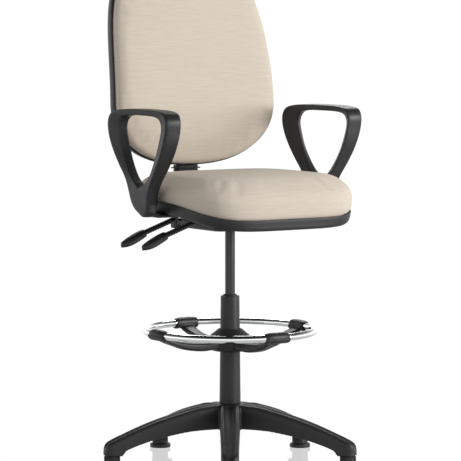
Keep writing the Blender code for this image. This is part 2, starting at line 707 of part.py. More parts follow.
def minus(a, b):
    return a[0] - b[0], a[1] - b[1]


# A paddle's stations past its shoulder: share of its length, half width, half thickness
PADDLE_STATIONS = (
    (0.00, 0.0085, 0.0090),
    (0.04, 0.0122, 0.0122),
    (0.20, 0.0142, 0.0124),
    (0.45, 0.0146, 0.0110),
    (0.70, 0.0130, 0.0088),
    (0.88, 0.0098, 0.0064),
    (0.97, 0.0056, 0.0040),
    (1.00, 0.0018, 0.0016),
)
RIB_PITCH, RIB_RADIUS, GROOVE_RADIUS = 0.0075, 0.0066, 0.0056


def make_grip():
    """A ribbed sleeve and a paddle in one moulding, with a blind bore for the rod."""
    stem = minus(GRIP_SHOULDER, GRIP_START)
    bore = LEVER_ROD_RADIUS + GAP
    rings = [lever_ring(between(GRIP_START, GRIP_SHOULDER, share), stem, bore, bore) for share in (0.97, 0.0)]
    ribs = int(math.hypot(*stem) / RIB_PITCH)
    for rib in range(ribs):
        for offset, radius in ((0.0, GROOVE_RADIUS), (0.5, RIB_RADIUS)):
            at = between(GRIP_START, GRIP_SHOULDER, (rib + offset) / ribs)
            rings.append(lever_ring(at, stem, radius, radius))
    paddle = minus(GRIP_TIP, GRIP_SHOULDER)
    for share, half_y, half_up in PADDLE_STATIONS:
        rings.append(lever_ring(between(GRIP_SHOULDER, GRIP_TIP, share), paddle, half_y, half_up))
    return loft(rings, "lever_grip")


def make_lever(body, rod_name, grip_name, grip, y, tongue):
    at = (LEVER_X, y, LEVER_Z)
    rod = place(rod_name, bar_along_y(0.0080, 0.0070, "lever_eye"), body, "bright_steel", at)
    stem = minus(GRIP_SHOULDER, GRIP_START)
    r = LEVER_ROD_RADIUS
    rings = [
        lever_ring((-0.003, 0.0), (-1, 0), r, r),
        lever_ring(LEVER_BEND, (-1, 0), r, r),
        lever_ring(GRIP_START, stem, r, r),
        lever_ring(between(GRIP_START, GRIP_SHOULDER, 0.96), stem, r, r),
    ]
    add(rod, loft(rings, "lever_rod"), body, at)
    if tongue:
        add(rod, box(0.004, TONGUE_LENGTH, -0.005, 0.005, TONGUE_BOTTOM, TONGUE_TOP, "tongue"), body, at)
    cut(rod, bar_along_y(0.0033, 0.0100, "eye_hole"), body, at)
    place(grip_name, grip, body, "black_gloss", at)


def make_levers():
    grip = make_grip()
    make_lever("height_lever", "height_lever_rod", "height_lever_grip", grip, HEIGHT_LEVER_Y, True)
    make_lever("back_lever", "back_lever_rod", "back_lever_grip", grip, BACK_LEVER_Y, False)


# ---------------------------------------------------------------- loop arms
# Round the loop from under the foot, up the rear, along the top and down the front: the outer edge's forward
# distance and height, the opening's edge, and the half thickness at each of the two edges
ARM_STATIONS = (
    (0.0150, 0.7050, -0.0030, 0.7890, 0.0165, 0.0150),
    (-0.0080, 0.7145, -0.0085, 0.7905, 0.0170, 0.0150),
    (-0.0335, 0.7290, -0.0140, 0.7940, 0.0175, 0.0150),
    (-0.0500, 0.7500, -0.0200, 0.7980, 0.0175, 0.0145),
    (-0.0600, 0.7750, -0.0290, 0.8025, 0.0180, 0.0135),
    (-0.0745, 0.8080, -0.0465, 0.8170, 0.0200, 0.0115),
    (-0.1030, 0.8430, -0.0660, 0.8430, 0.0230, 0.0100),
    (-0.1287, 0.8760, -0.0850, 0.8750, 0.0250, 0.0095),
    (-0.1503, 0.9100, -0.0990, 0.9080, 0.0260, 0.0095),
    (-0.1624, 0.9430, -0.1080, 0.9380, 0.0260, 0.0095),
    (-0.1615, 0.9670, -0.1070, 0.9560, 0.0260, 0.0100),
    (-0.1473, 0.9850, -0.0990, 0.9700, 0.0260, 0.0120),
    (-0.1149, 0.9945, -0.0836, 0.9785, 0.0265, 0.0150),
    (-0.0522, 0.9995, -0.0418, 0.9825, 0.0275, 0.0180),
    (0.0313, 1.0005, 0.0313, 0.9833, 0.0280, 0.0190),
    (0.0993, 0.9995, 0.0836, 0.9822, 0.0275, 0.0170),
    (0.1411, 0.9940, 0.1076, 0.9765, 0.0270, 0.0130),
    (0.1568, 0.9790, 0.1170, 0.9640, 0.0265, 0.0105),
    (0.1600, 0.9580, 0.1182, 0.9460, 0.0260, 0.0095),
    (0.1515, 0.9250, 0.1084, 0.9160, 0.0260, 0.0095),
    (0.1300, 0.8820, 0.0878, 0.8740, 0.0250, 0.0095),
    (0.0980, 0.8380, 0.0615, 0.8330, 0.0230, 0.0100),
    (0.0660, 0.7980, 0.0380, 0.8060, 0.0195, 0.0120),
    (0.0500, 0.7650, 0.0160, 0.7935, 0.0180, 0.0145),
    (0.0450, 0.7350, 0.0075, 0.7905, 0.0175, 0.0150),
    (0.0355, 0.7120, 0.0015, 0.7892, 0.0165, 0.0150),
)
ARM_EDGE_OFFSET = 0.003  # the opening's edge lies this far outside the loop's middle plane
# The opening runs slantwise through the loop: outside it lies further back, and less so towards the foot
ARM_WALL_SLANT, SLANT_START_Z, SLANT_RISE = 0.008, 0.800, 0.080
# Half the section from the opening's edge, at 0, to the outer edge, at 1, and its share of the half thickness
ARM_SECTION = ((0.00, 0.55), (0.06, 1.00), (0.82, 1.00), (0.96, 0.86), (1.00, 0.50))


def arm_rings(side):
    """Sections round the loop. side is -1 for the sitter's right and 1 for the left."""
    paths = [smoothed([station[a:b] for station in ARM_STATIONS], 2) for a, b in ((0, 3), (3, 6))]
    rings = []
    for first, second in zip(*paths):
        outer_u, outer_z, inner_u = first
        inner_z, half_outer, half_inner = second
        slant = ARM_WALL_SLANT * min(max((inner_z - SLANT_START_Z) / SLANT_RISE, 0.0), 1.0)
        ring = []
        for mirror in (1, -1):
            for q, share in ARM_SECTION[::mirror]:
                x = mirror * share * (half_inner + (half_outer - half_inner) * q)
                u = inner_u + (outer_u - inner_u) * q - mirror * share * slant * (1 - q)
                z = inner_z + (outer_z - inner_z) * q
                ring.append(((x + ARM_EDGE_OFFSET * (1 - q)) * side, -u, z))
        rings.append(ring)
    return rings


# A lug's stations: distance from the middle, rear and front ends forward of the foot's middle, underside, top
LUG_STATIONS = (
    (0.168, -0.031, 0.031, LUG_BOTTOM, PLATE_TOP),
    (0.255, -0.031, 0.031, LUG_BOTTOM, PLATE_TOP),
    (0.270, -0.024, 0.032, LUG_BOTTOM + 0.001, 0.717),
    (0.282, -0.012, 0.033, LUG_BOTTOM + 0.006, 0.728),
)


def make_arms():
    for side, name in ((-1, "arm_right"), (1, "arm_left")):
        at, turn = (side * ARM_X, ARM_Y, 0), side * ARM_TOE_OUT
        arm = place(name, loft(arm_rings(side), name, closed=True), "seat_frame", "black_nylon", at, turn)
        rings = []
        for x, rear, front, bottom, top in LUG_STATIONS:
            flat = softened(-front, -rear, bottom, top, 0.003, 0, 2)
            rings.append([(side * (x - ARM_X), y, z) for y, z, _ in flat])
        add(arm, loft(rings, "lug"), "seat_frame", at)
        for offset in ARM_BOLT_OFFSETS:
            hole = turned([(BOLT_RADIUS, 0.69), (BOLT_RADIUS, 0.75)], "lug_hole", 12)
            cut(arm, hole, "seat_frame", at=(side * ARM_BOLT_X, ARM_Y + offset, 0))


# ---------------------------------------------------------------- back
def back_line(z):
    """How far behind the column the cushion's front edge is at a height: most forward at the lumbar."""
    return BACK_FRONT_Y + BACK_SAG * (math.hypot(1, (z - BACK_LUMBAR_Z) / BACK_LUMBAR_SPAN) - 1)


def back_ring(inset, depth, scale=1.0, steps=36):
    """The back's outline seen from the front, moved in by inset and back by depth from the front edge."""
    ring = []
    for i in range(steps):
        turn = 2 * math.pi * i / steps
        c, s = math.cos(turn), math.sin(turn)
        upper = s > 0
        power = BACK_UPPER_POWER if upper else BACK_LOWER_POWER
        half_z = (BACK_TOP - BACK_WAIST if upper else BACK_WAIST - BACK_BOTTOM) - inset
        reach = (abs(c / (BACK_HALF_WIDTH - inset)) ** power + abs(s / half_z) ** power) ** (-1 / power)
        rise = scale * reach * s
        taper = 1 - BACK_TAPER * max(rise, 0.0) ** 1.3
        z = BACK_WAIST + rise
        ring.append((scale * reach * c * taper, back_line(z) + depth, z))
    return ring


def back_layer(rings, name):
    """A piece of the back from rings of (inset, depth, scale), ending on its own middle line."""
    return loft([back_ring(*ring) for ring in rings], name, curved=True)


def inward(depth, inset=0.060):
    """The rings that carry a layer of the back from an inset ring to its middle."""
    return [(inset, depth, scale) for scale in (1.0, 0.75, 0.5, 0.25, 0.03)]


def bar_room(clearance, z):
    """The bar's own section with clearance round it, at a height."""
    wide, thick = BAR_HALF_WIDTH + clearance, BAR_HALF_THICKNESS + clearance
    return softened(-wide, wide, BAR_Y - thick, BAR_Y + thick, 0.002, z, 2)


def make_back():
    cushion = list(reversed(inward(0.0467))) + [
        (0.0300, 0.0467, 1.0),
        (0.0110, 0.0440, 1.0),
        (0.0060, 0.0340, 1.0),
        (0.0040, 0.0275, 1.0),
        (-0.0005, 0.0240, 1.0),
        (-0.0010, 0.0160, 1.0),
        (0.0030, 0.0060, 1.0),
        (0.0120, 0.0000, 1.0),
        (0.0300, -0.0020, 1.0),
    ]
    hollow = ((-0.001, 1.0), (0.002, 0.75), (0.004, 0.5), (0.006, 0.25), (0.006, 0.03))
    front = [(0.060, depth, scale) for depth, scale in hollow]
    place("back_cushion", back_layer(cushion + front, "back_cushion"), "back_rest", "fabric")

    board = list(reversed(inward(0.0470))) + inward(0.0567)
    board_obj = place("back_board", back_layer(board, "back_board"), "back_rest", "plywood")

    outside = [
        (0.0000, 0.0285, 1.0),
        (-0.0005, 0.0370, 1.0),
        (0.0010, 0.0500, 1.0),
        (0.0080, 0.0650, 1.0),
        (0.0300, 0.0790, 1.0),
        (0.0600, 0.0870, 1.0),
        (0.0600, 0.0915, 0.75),
        (0.0600, 0.0935, 0.5),
        (0.0600, 0.0940, 0.25),
        (0.0600, 0.0940, 0.03),
    ]
    inside = [
        (0.0030, 0.0285, 1.0),
        (0.0030, 0.0370, 1.0),
        (0.0042, 0.0485, 1.0),
        (0.0110, 0.0620, 1.0),
        (0.0320, 0.0760, 1.0),
        (0.0610, 0.0840, 1.0),
        (0.0610, 0.0885, 0.75),
        (0.0610, 0.0905, 0.5),
        (0.0610, 0.0910, 0.25),
        (0.0610, 0.0910, 0.03),
    ]
    shell_mesh = back_layer(list(reversed(inside)) + outside, "back_shell")
    shell = place("back_shell", shell_mesh, "back_rest", "black_nylon")
    near, far = BAR_Y - 0.0105, BAR_Y + 0.0125
    opening = box(-BAR_OPENING_HALF, BAR_OPENING_HALF, near, far, 0.80, 0.856, "bar_opening")
    cut(shell, opening, "back_rest")

    half = BRACKET_HALF_WIDTH
    bracket_rings = [
        softened(-half, half, front, BRACKET_REAR, 0.004, z, 2)
        for z, front in ((BRACKET_BOTTOM, BRACKET_FOOT_FRONT), (BRACKET_TOP, BRACKET_TOP_FRONT))
    ]
    bore_rings = [bar_room(0.0004, z) for z in (BRACKET_TOP, BRACKET_BOTTOM)]
    bracket_mesh = loft(bracket_rings + bore_rings, "bracket", closed=True)
    bracket = place("back_bracket", bracket_mesh, "back_rest", "black_steel")
    head = [(SCREW_HEAD_RADIUS - 0.0005, -0.0030), (SCREW_HEAD_RADIUS, 0.0)]
    shank = [(SCREW_RADIUS, 0.0), (SCREW_RADIUS, SCREW_LENGTH)]
    screw = lying(turned(head + shank, "screw", 12), "Y")
    hole = bar_along_y(SCREW_RADIUS + 0.0004, 0.0380, "screw_hole", 12)
    spots = [(side * SCREW_X, z) for side in (-1, 1) for z in SCREW_HEIGHTS]
    for number, (x, z) in enumerate(spots, 1):
        at = (x, BRACKET_REAR + GAP, z)
        place(f"bracket_screw_{number}", screw, "back_rest", "bright_steel", at)
        cut(bracket, hole, "back_rest", at)
        cut(board_obj, hole, "back_rest", at)


def bar_ring(y, z, angle):
    """The bar's section square to its path, which points back at angle 0 and up at a quarter turn."""
    flat = softened(-BAR_HALF_WIDTH, BAR_HALF_WIDTH, -BAR_HALF_THICKNESS, BAR_HALF_THICKNESS, 0.002, 0, 2)
    return [(x, y - t * math.sin(angle), z + t * math.cos(angle)) for x, t, _ in flat]


def make_bar():
    turn_y, turn_z = BAR_Y - BAR_BEND_RADIUS, BAR_Z + BAR_BEND_RADIUS
    rings = [bar_ring(TILT_Y + 0.0025, BAR_Z, 0)]
    for i in range(9):
        angle = math.pi / 2 * i / 8
        y = turn_y + BAR_BEND_RADIUS * math.sin(angle)
        rings.append(bar_ring(y, turn_z - BAR_BEND_RADIUS * math.cos(angle), angle))
    rings.append(bar_ring(BAR_Y, BAR_TOP, math.pi / 2))
    bar = place("back_bar", loft(rings, "back_bar"), "back_tilt", "black_steel")
    tilt_spot = (0, TILT_Y, TILT_Z)
    add(bar, bar_along_x(BAR_EYE_RADIUS, BAR_HALF_WIDTH - 0.0015, "bar_eye", 24), "back_tilt", at=tilt_spot)
    cut(bar, bar_along_x(TILT_PIN_RADIUS + GAP, 0.05, "bar_eye_hole"), "back_tilt", at=tilt_spot)

    outer = []
    step = (BELLOWS_FLANGE - BELLOWS_BOTTOM) / BELLOWS_FOLDS
    for fold in range(BELLOWS_FOLDS):
        for share, inset in ((0.0, BELLOWS_GROOVE), (0.35, 0.0), (0.65, 0.0)):
            outer.append((BELLOWS_BOTTOM + step * (fold + share), inset))
    lip_top = BELLOWS_FLANGE + 0.003
    outer += [(BELLOWS_FLANGE, BELLOWS_GROOVE), (BELLOWS_FLANGE, -BELLOWS_LIP), (lip_top, -BELLOWS_LIP)]
    outer += [(lip_top, 0.0), (BELLOWS_TOP, 0.0)]
    rings = []
    for z, inset in outer:
        wide, deep = BELLOWS_HALF_WIDTH - inset, BELLOWS_HALF_DEPTH - inset
        rings.append(softened(-wide, wide, BAR_Y - deep, BAR_Y + deep, 0.010, z, 2))
    rings += [bar_room(GAP, z) for z in (BELLOWS_TOP, BELLOWS_BOTTOM)]
    place("bar_bellows", loft(rings, "bellows", closed=True), "back_tilt", "rubber")


# ---------------------------------------------------------------- main
clear_scene()
FINISH = make_finishes()
EMPTIES = make_bodies()
make_base()
make_column()
make_foot_ring()
make_seat()
make_mechanism()
make_levers()
make_arms()
make_back()
make_bar()
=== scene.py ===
"""Looks of the draughtsman chair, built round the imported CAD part.

Every visible moulding, tube and cushion is modelled here at a finer step than the CAD solids, from the
same driving dimensions, in metres. The chair stands on the XY plane and its seat faces -Y. Pieces are
modelled from the column's axis on the floor, and POST moves them to where the CAD part has that axis.
"""

import json
import math

import bmesh
import bpy
import numpy as np
from mathutils import Matrix, Vector


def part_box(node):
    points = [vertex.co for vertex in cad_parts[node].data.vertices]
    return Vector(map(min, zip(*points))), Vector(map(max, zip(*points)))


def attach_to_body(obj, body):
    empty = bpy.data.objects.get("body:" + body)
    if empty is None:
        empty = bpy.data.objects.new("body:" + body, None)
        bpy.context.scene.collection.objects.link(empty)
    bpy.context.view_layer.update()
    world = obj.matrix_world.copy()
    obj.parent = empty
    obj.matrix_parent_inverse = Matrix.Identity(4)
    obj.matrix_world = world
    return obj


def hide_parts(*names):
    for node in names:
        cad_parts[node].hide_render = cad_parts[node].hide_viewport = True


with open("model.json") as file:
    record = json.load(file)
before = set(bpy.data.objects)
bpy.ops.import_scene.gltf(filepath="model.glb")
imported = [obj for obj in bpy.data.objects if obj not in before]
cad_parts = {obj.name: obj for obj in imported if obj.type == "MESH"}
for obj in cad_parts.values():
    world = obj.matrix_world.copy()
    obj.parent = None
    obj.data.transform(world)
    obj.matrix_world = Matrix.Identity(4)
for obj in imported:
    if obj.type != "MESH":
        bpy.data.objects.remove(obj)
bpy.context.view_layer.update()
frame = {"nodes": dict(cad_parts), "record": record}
NODES = frame["nodes"]


def middle(node):
    low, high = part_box(node)
    return (low + high) / 2


POST = Vector((middle("gas_cylinder").x, middle("gas_cylinder").y, 0.0))


def low(node):
    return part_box(node)[0].z


def high(node):
    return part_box(node)[1].z


def size(node, axis=0):
    """The node's size along x, or along another axis."""
    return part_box(node)[1][axis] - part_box(node)[0][axis]


# ---------------------------------------------------------------- driving dimensions, in metres
GAP = 0.0003

# Base
LEGS = 5
FIRST_LEG_ANGLE = math.radians(237)
HUB_BOTTOM, HUB_TOP, HUB_RADIUS = 0.092, low("column_sleeve") - GAP, 0.040
SOCKET_BOTTOM = 0.033

# Column
SLEEVE_TOP = high("column_sleeve")
CYLINDER_RADIUS = size("gas_cylinder") / 2
SLEEVE_FOOT_RADIUS, SLEEVE_TOP_RADIUS, SLEEVE_MOUTH = size("column_sleeve") / 2, 0.0264, 0.0197
TUBE_RADIUS, TUBE_BORE, TUBE_FLOOR = 0.025, 0.0232, 0.004
TUBE_CLEARANCE = 0.0253  # the bore of the hub and of the sleeve, which the outer tube passes through
STEM_RADIUS, BUTTON_RADIUS = 0.0055, 0.0036  # the holes in the tube's floor and in the cylinder's ends
BUSH_BORE, BUSH_RADIUS, BUSH_FOOT = 0.0143, 0.0192, 0.384

# Foot ring
RING_HEIGHT = middle("foot_ring_tube").z
RING_TUBE = size("foot_ring_tube", 2) / 2
RING_RADIUS = size("foot_ring_tube") / 2 - RING_TUBE
SPIDER_BOTTOM = low("ring_spider")
SPIDER_TOP, COLLAR_TOP = low("ring_collar") - GAP, high("ring_collar")
HUB_BORE = 0.0302

# Seat
SEAT_CENTRE_Y = middle("seat_shell").y - POST.y
SEAT_HALF_WIDTH, SEAT_HALF_DEPTH = size("seat_shell") / 2, size("seat_shell", 1) / 2
SEAT_SQUARENESS = 4.4
RIM_SIDE, RIM_FRONT_DROP = high("seat_shell"), 0.041
RIM_DROP_START, RIM_DROP_LENGTH = -0.040, 0.2726
BAND_HEIGHT = 0.033
SHELL_FLOOR = 0.711
SEAT_TOP, SEAT_FRONT_FALL = 0.8145, 0.020
SEAT_FALL_START, SEAT_FALL_LENGTH = -0.160, 0.150

# Arms, in the plane of the loop: u forward from the foot's middle, z up
ARM_X, ARM_Y = 0.295, -0.022
ARM_TOE_OUT = math.radians(1.5)

# Levers
LEVER_X, LEVER_Z = -0.060, 0.689
LEVER_YS = {"height_lever": 0.0, "back_lever": 0.112}
GRIP_START, GRIP_SHOULDER, GRIP_TIP = (-0.052, -0.0061), (-0.152, -0.0405), (-0.2268, -0.0798)

# Back
TILT_Y, TILT_Z = 0.131, 0.668
BAR_Y, BAR_Z = 0.233, 0.676
BAR_HALF_WIDTH, BAR_HALF_THICKNESS = 0.030, 0.004
BAR_BEND_RADIUS, BAR_TOP = 0.045, high("back_bar")
BELLOWS_BOTTOM, BELLOWS_TOP, BELLOWS_FLANGE = low("bar_bellows"), high("bar_bellows"), 0.8160
BACK_WAIST, BACK_BOTTOM, BACK_TOP = 1.012, low("back_shell"), high("back_shell")
BACK_HALF_WIDTH = 0.2655
BACK_LOWER_POWER, BACK_UPPER_POWER, BACK_TAPER = 2.4, 4.5, 0.31
BACK_FRONT_Y, BACK_SAG, BACK_LUMBAR_Z, BACK_LUMBAR_SPAN = 0.1555, 0.0438, 0.985, 0.150

# Camera: it stands on the sitter's right of the front and looks down a little
CAMERA_TURN = math.radians(33)
CAMERA_DISTANCE, CAMERA_HEIGHT = 8.9, 1.375
CAMERA_PITCH, CAMERA_SHIFT = math.radians(4.64), 0.00126
CAMERA_LENS, CAMERA_SENSOR = 249.03, 36.0


# ---------------------------------------------------------------- shape helpers
def polar(radius, angle):
    return radius * math.cos(angle), radius * math.sin(angle)


def all_round(count, start=0.0):
    """Evenly spaced angles round a circle."""
    return [start + 2 * math.pi * i / count for i in range(count)]


def loft(rings, closed=False):
    """Skins rings of equally many points, and closes the ends of an open loft."""
    count = len(rings[0])
    points = [tuple(p) for ring in rings for p in ring]
    faces = []
    for i in range(len(rings) if closed else len(rings) - 1):
        a, b = i * count, (i + 1) % len(rings) * count
        faces += [(a + j, a + (j + 1) % count, b + (j + 1) % count, b + j) for j in range(count)]
    if not closed:
        faces.append(tuple(range(count)))
        faces.append(tuple(range((len(rings) - 1) * count, len(rings) * count)))
    return points, faces


def joined(shapes):
    points, faces = [], []
    for more_points, more_faces in shapes:
        start = len(points)
        points += more_points
        faces += [tuple(i + start for i in face) for face in more_faces]
    return points, faces


def moved(shape, at=(0, 0, 0), turn=0.0):
    """A shape turned about +Z and then moved."""
    matrix = Matrix.Translation(at) @ Matrix.Rotation(turn, 4, "Z")
    return [tuple(matrix @ Vector(p)) for p in shape[0]], shape[1]


def rounded(corners, radius, steps=4, closed=False):
    """A line through corners with each corner turned into a curve that starts radius away from it."""
    line = []
    count = len(corners)
    for i in range(count):
        here = Vector(corners[i])
        if not closed and i in (0, count - 1):
            line.append(here)
            continue
        before, after = Vector(corners[i - 1]), Vector(corners[(i + 1) % count])
        r = min(radius, 0.45 * (before - here).length, 0.45 * (after - here).length)
        start, end = here + r * (before - here).normalized(), here + r * (after - here).normalized()
        for j in range(steps + 1):
            t = j / steps
            line.append((1 - t) ** 2 * start + 2 * t * (1 - t) * here + t * t * end)
    return line


def turned(profile, steps=96, closed=False, centre=(0.0, 0.0)):
    """A turned shape from (radius, z) points."""
    x0, y0 = centre
    rings = []
    for radius, z in profile:
        ring = [polar(radius, angle) for angle in all_round(steps)]
        rings.append([(x0 + x, y0 + y, z) for x, y in ring])
    return loft(rings, closed)


def softened(x0, x1, y0, y1, corner, steps=5):
    """A rectangle with round corners, as (x, y) points."""
    ring = []
    corners = ((x1 - corner, y1 - corner), (x0 + corner, y1 - corner), (x0 + corner, y0 + corner))
    for quarter, (cx, cy) in enumerate(corners + ((x1 - corner, y0 + corner),)):
        for i in range(steps + 1):
            x, y = polar(corner, math.pi / 2 * (quarter + i / steps))
            ring.append((cx + x, cy + y))
    return ring


def plate(x0, x1, y0, y1, z, corner, inset=0.0):
    """A level ring at z: a rectangle moved in by inset, with round corners."""
    return [(x, y, z) for x, y in softened(x0 + inset, x1 - inset, y0 + inset, y1 - inset, corner)]


def block(x0, x1, y0, y1, z0, z1, corner, edge):
    """A block with round upright corners and softened top and bottom edges."""
    rows = [(z0, edge), (z0 + 0.3 * edge, 0.3 * edge), (z0 + edge, 0)]
    rows += [(z1 - edge, 0), (z1 - 0.3 * edge, 0.3 * edge), (z1, edge)]
    return loft([plate(x0, x1, y0, y1, z, corner, inset) for z, inset in rows])


def catmull(a, b, c, d, t):
    bend = (2 * a - 5 * b + 4 * c - d) * t**2 + (3 * b - a - 3 * c + d) * t**3
    return 0.5 * (2 * b + (c - a) * t + bend)


def smoothed(rows, steps, closed=False):
    """A Catmull-Rom curve through rows of numbers, with steps in each stretch."""
    values = np.array(rows, float)
    count = len(values)
    found = []
    for i in range(count if closed else count - 1):
        picks = [(i + k) % count if closed else min(max(i + k, 0), count - 1) for k in (-1, 0, 1, 2)]
        a, b, c, d = (values[k] for k in picks)
        found += [catmull(a, b, c, d, j / steps) for j in range(steps)]
    return found if closed else found + [values[-1]]


def signed_power(value, power):
    return math.copysign(abs(value) ** power, value)


def tube_wall(inside, outside, foot, top):
    """A straight tube's section, as (radius, z) points."""
    return [(inside, foot), (outside, foot), (outside, top), (inside, top)]


def oval(half_a, half_b, flat, steps):
    """Points round an oval, which flat under 1 squares off."""
    turns = [(math.cos(angle), math.sin(angle)) for angle in all_round(steps)]
    return [(half_a * signed_power(c, flat), half_b * signed_power(s, flat)) for c, s in turns]


# ---------------------------------------------------------------- object helpers
def placed(name, data):
    """A new object in the scene."""
    obj = bpy.data.objects.new(name, data)
    bpy.context.scene.collection.objects.link(obj)
    return obj


def applied(obj):
    """Replaces the object's mesh with what its modifiers make of it."""
    graph = bpy.context.evaluated_depsgraph_get()
    graph.update()
    mesh = bpy.data.meshes.new_from_object(obj.evaluated_get(graph))
    obj.modifiers.clear()
    obj.data = mesh
    return obj


def shaded(obj, angle):
    obj.data.shade_smooth()
    obj.data.set_sharp_from_angle(angle=math.radians(angle))


def make(name, shape, finish, sharp=35):
    mesh = bpy.data.meshes.new(name)
    mesh.from_pydata([Vector(p) + POST for p in shape[0]], [], shape[1])
    work = bmesh.new()
    work.from_mesh(mesh)
    bmesh.ops.recalc_face_normals(work, faces=work.faces)
    work.to_mesh(mesh)
    work.free()
    mesh.materials.append(MATERIALS[finish])
    obj = placed(name, mesh)
    shaded(obj, sharp)
    return obj


def relaxing(obj, passes):
    """A modifier that evens out the object's surface."""
    relax = obj.modifiers.new("relax", "SMOOTH")
    relax.factor = 0.5
    relax.iterations = passes


def remeshed(obj, voxel, passes=0):
    """Melts the object's overlapping shapes into one even mesh, with soft inner corners after passes."""
    remesh = obj.modifiers.new("melt", "REMESH")
    remesh.mode = "VOXEL"
    remesh.voxel_size = voxel
    if passes:
        relaxing(obj, passes)
    material = obj.data.materials[0]
    applied(obj)
    obj.data.materials.clear()
    obj.data.materials.append(material)


def cut(obj, shape):
    """Cuts a closed shape out of the object."""
    cutter = make(obj.name + "_cut", shape, "rubber")
    boolean = obj.modifiers.new("cut", "BOOLEAN")
    boolean.operation = "DIFFERENCE"
    boolean.object = cutter
    boolean.solver = "EXACT"
    applied(obj)
    bpy.data.objects.remove(cutter)


def attach(obj, body, finish, *nodes):
    """Puts the piece on its body and hides the CAD nodes it stands for."""
    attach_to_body(obj, body)
    if nodes:
        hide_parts(*nodes)
    return obj


def piece(name, shape, body, finish, *nodes, sharp=35):
    return attach(make(name, shape, finish, sharp), body, finish, *nodes)


# ---------------------------------------------------------------- materials
class Nodes:
    """A node tree with short calls for the nodes that the finishes and the surround share."""

    def __init__(self, name, kind="materials"):
        self.data = getattr(bpy.data, kind).new(name)
        self.data.use_nodes = True
        self.tree = self.data.node_tree
        self.shader = self.tree.nodes.get("Principled BSDF")

    def add(self, kind, settings=None, inputs=None):
        node = self.tree.nodes.new(kind)
        for key, value in (settings or {}).items():
            setattr(node, key, value)
        for key, value in (inputs or {}).items():
            self.feed(node.inputs[key], value)
        return node

    def feed(self, socket, value):
        if isinstance(value, bpy.types.NodeSocket):
            self.tree.links.new(value, socket)
        else:
            socket.default_value = value

    def set(self, **values):
        for key, value in values.items():
            self.feed(self.shader.inputs[key.replace("_", " ")], value)

    def place(self, scale):
        """Object coordinates stretched by scale."""
        coords = self.add("ShaderNodeTexCoord").outputs["Object"]
        return self.add("ShaderNodeMapping", inputs={"Vector": coords, "Scale": scale}).outputs["Vector"]

    def noise(self, scale, detail=3.0, stretch=(1, 1, 1)):
        inputs = {"Vector": self.place(stretch), "Scale": scale, "Detail": detail}
        return self.add("ShaderNodeTexNoise", inputs=inputs).outputs["Fac"]

    def math(self, operation, a, b=0.0, c=0.0):
        inputs = {0: a, 1: b, 2: c}
        return self.add("ShaderNodeMath", {"operation": operation}, inputs).outputs[0]

    def between(self, value, low_end, high_end):
        """The value from 0 to 1 spread over low_end to high_end."""
        inputs = {"Value": value, "To Min": low_end, "To Max": high_end}
        return self.add("ShaderNodeMapRange", inputs=inputs).outputs["Result"]

    def ramp(self, value, dark, light, start=0.0, end=1.0):
        node = self.add("ShaderNodeValToRGB", inputs={"Fac": value})
        for element, colour, position in zip(node.color_ramp.elements, (dark, light), (start, end)):
            element.color = (*colour, 1.0)
            element.position = position
        return node.outputs["Color"]

    def bump(self, height, strength, distance, normal=None):
        inputs = {"Height": height, "Strength": strength, "Distance": distance}
        node = self.add("ShaderNodeBump", inputs=inputs)
        if normal is not None:
            self.feed(node.inputs["Normal"], normal)
        return node.outputs["Normal"]

    def show(self, share, one, other, output):
        """Mixes two shaders by share and gives the mix to the output."""
        mix = self.add("ShaderNodeMixShader", inputs={"Fac": share, 1: one, 2: other})
        self.feed(self.tree.nodes[output].inputs["Surface"], mix.outputs["Shader"])


def finish(name, dark, light, tone, polish, relief, wave=None):
    """A surface whose tone, polish and relief each follow a noise, given by its scale and detail first.

    Then come the ends of tone's and polish's span, or the strength and depth of the relief and the wave.
    """
    n = Nodes(name)
    under = n.bump(n.noise(*wave[:2]), *wave[2:]) if wave else None
    n.set(
        Base_Color=n.ramp(n.noise(*tone[:2]), dark, light, *tone[2:]),
        Roughness=n.between(n.noise(*polish[:2]), *polish[2:]),
        Normal=n.bump(n.noise(*relief[:2]), *relief[2:], under),
    )
    return n


MOULDED_TONE, MOULDED_WAVE = (9.0, 2.0, 0.35, 0.65), (45.0, 2.0, 0.15, 0.0006)
MOULDED_SPECULAR = 0.38


def moulded(name, dark, light, roughness, grain_depth):
    """Moulded plastic: fine spark-eroded grain over slow waves, and polish that varies a little."""
    polish = (60.0, 3.0, roughness - 0.05, roughness + 0.06)
    grain = (1400.0, 2.0, 0.35, grain_depth)
    n = finish(name, dark, light, MOULDED_TONE, polish, grain, MOULDED_WAVE)
    n.shader.inputs["Specular IOR Level"].default_value = MOULDED_SPECULAR
    return n.data


def drawn_metal(name, colour, roughness, stretch):
    """Drawn or turned metal: fine lines along one direction and a little variation in polish."""
    n = Nodes(name)
    lines = n.noise(300.0, 4.0, stretch)
    groove = tuple(0.86 * c for c in colour)
    n.set(
        Base_Color=n.ramp(lines, groove, colour, 0.3, 0.7),
        Roughness=n.between(lines, roughness - 0.04, roughness + 0.08),
        Normal=n.bump(lines, 0.25, 0.00005),
        Metallic=1.0,
    )
    return n.data


def painted_steel():
    """Black powder coat: an orange-peel surface over steel."""
    dark, light, tone = (0.016, 0.016, 0.017), (0.024, 0.024, 0.025), (14.0, 2.0, 0.35, 0.65)
    polish, relief = (90.0, 3.0, 0.24, 0.36), (520.0, 2.0, 0.30, 0.00018)
    return finish("powder_coated_steel", dark, light, tone, polish, relief).data


def chrome_plate():
    """Chrome plate: nearly a mirror, with the faintest waves from the bent tube below it."""
    dark, light, tone = (0.91, 0.92, 0.93), (0.96, 0.97, 0.97), (25.0, 2.0, 0.3, 0.7)
    polish, relief = (110.0, 4.0, 0.035, 0.085), (30.0, 1.0, 0.08, 0.0008)
    n = finish("chrome_plate", dark, light, tone, polish, relief)
    n.set(Metallic=1.0)
    return n.data


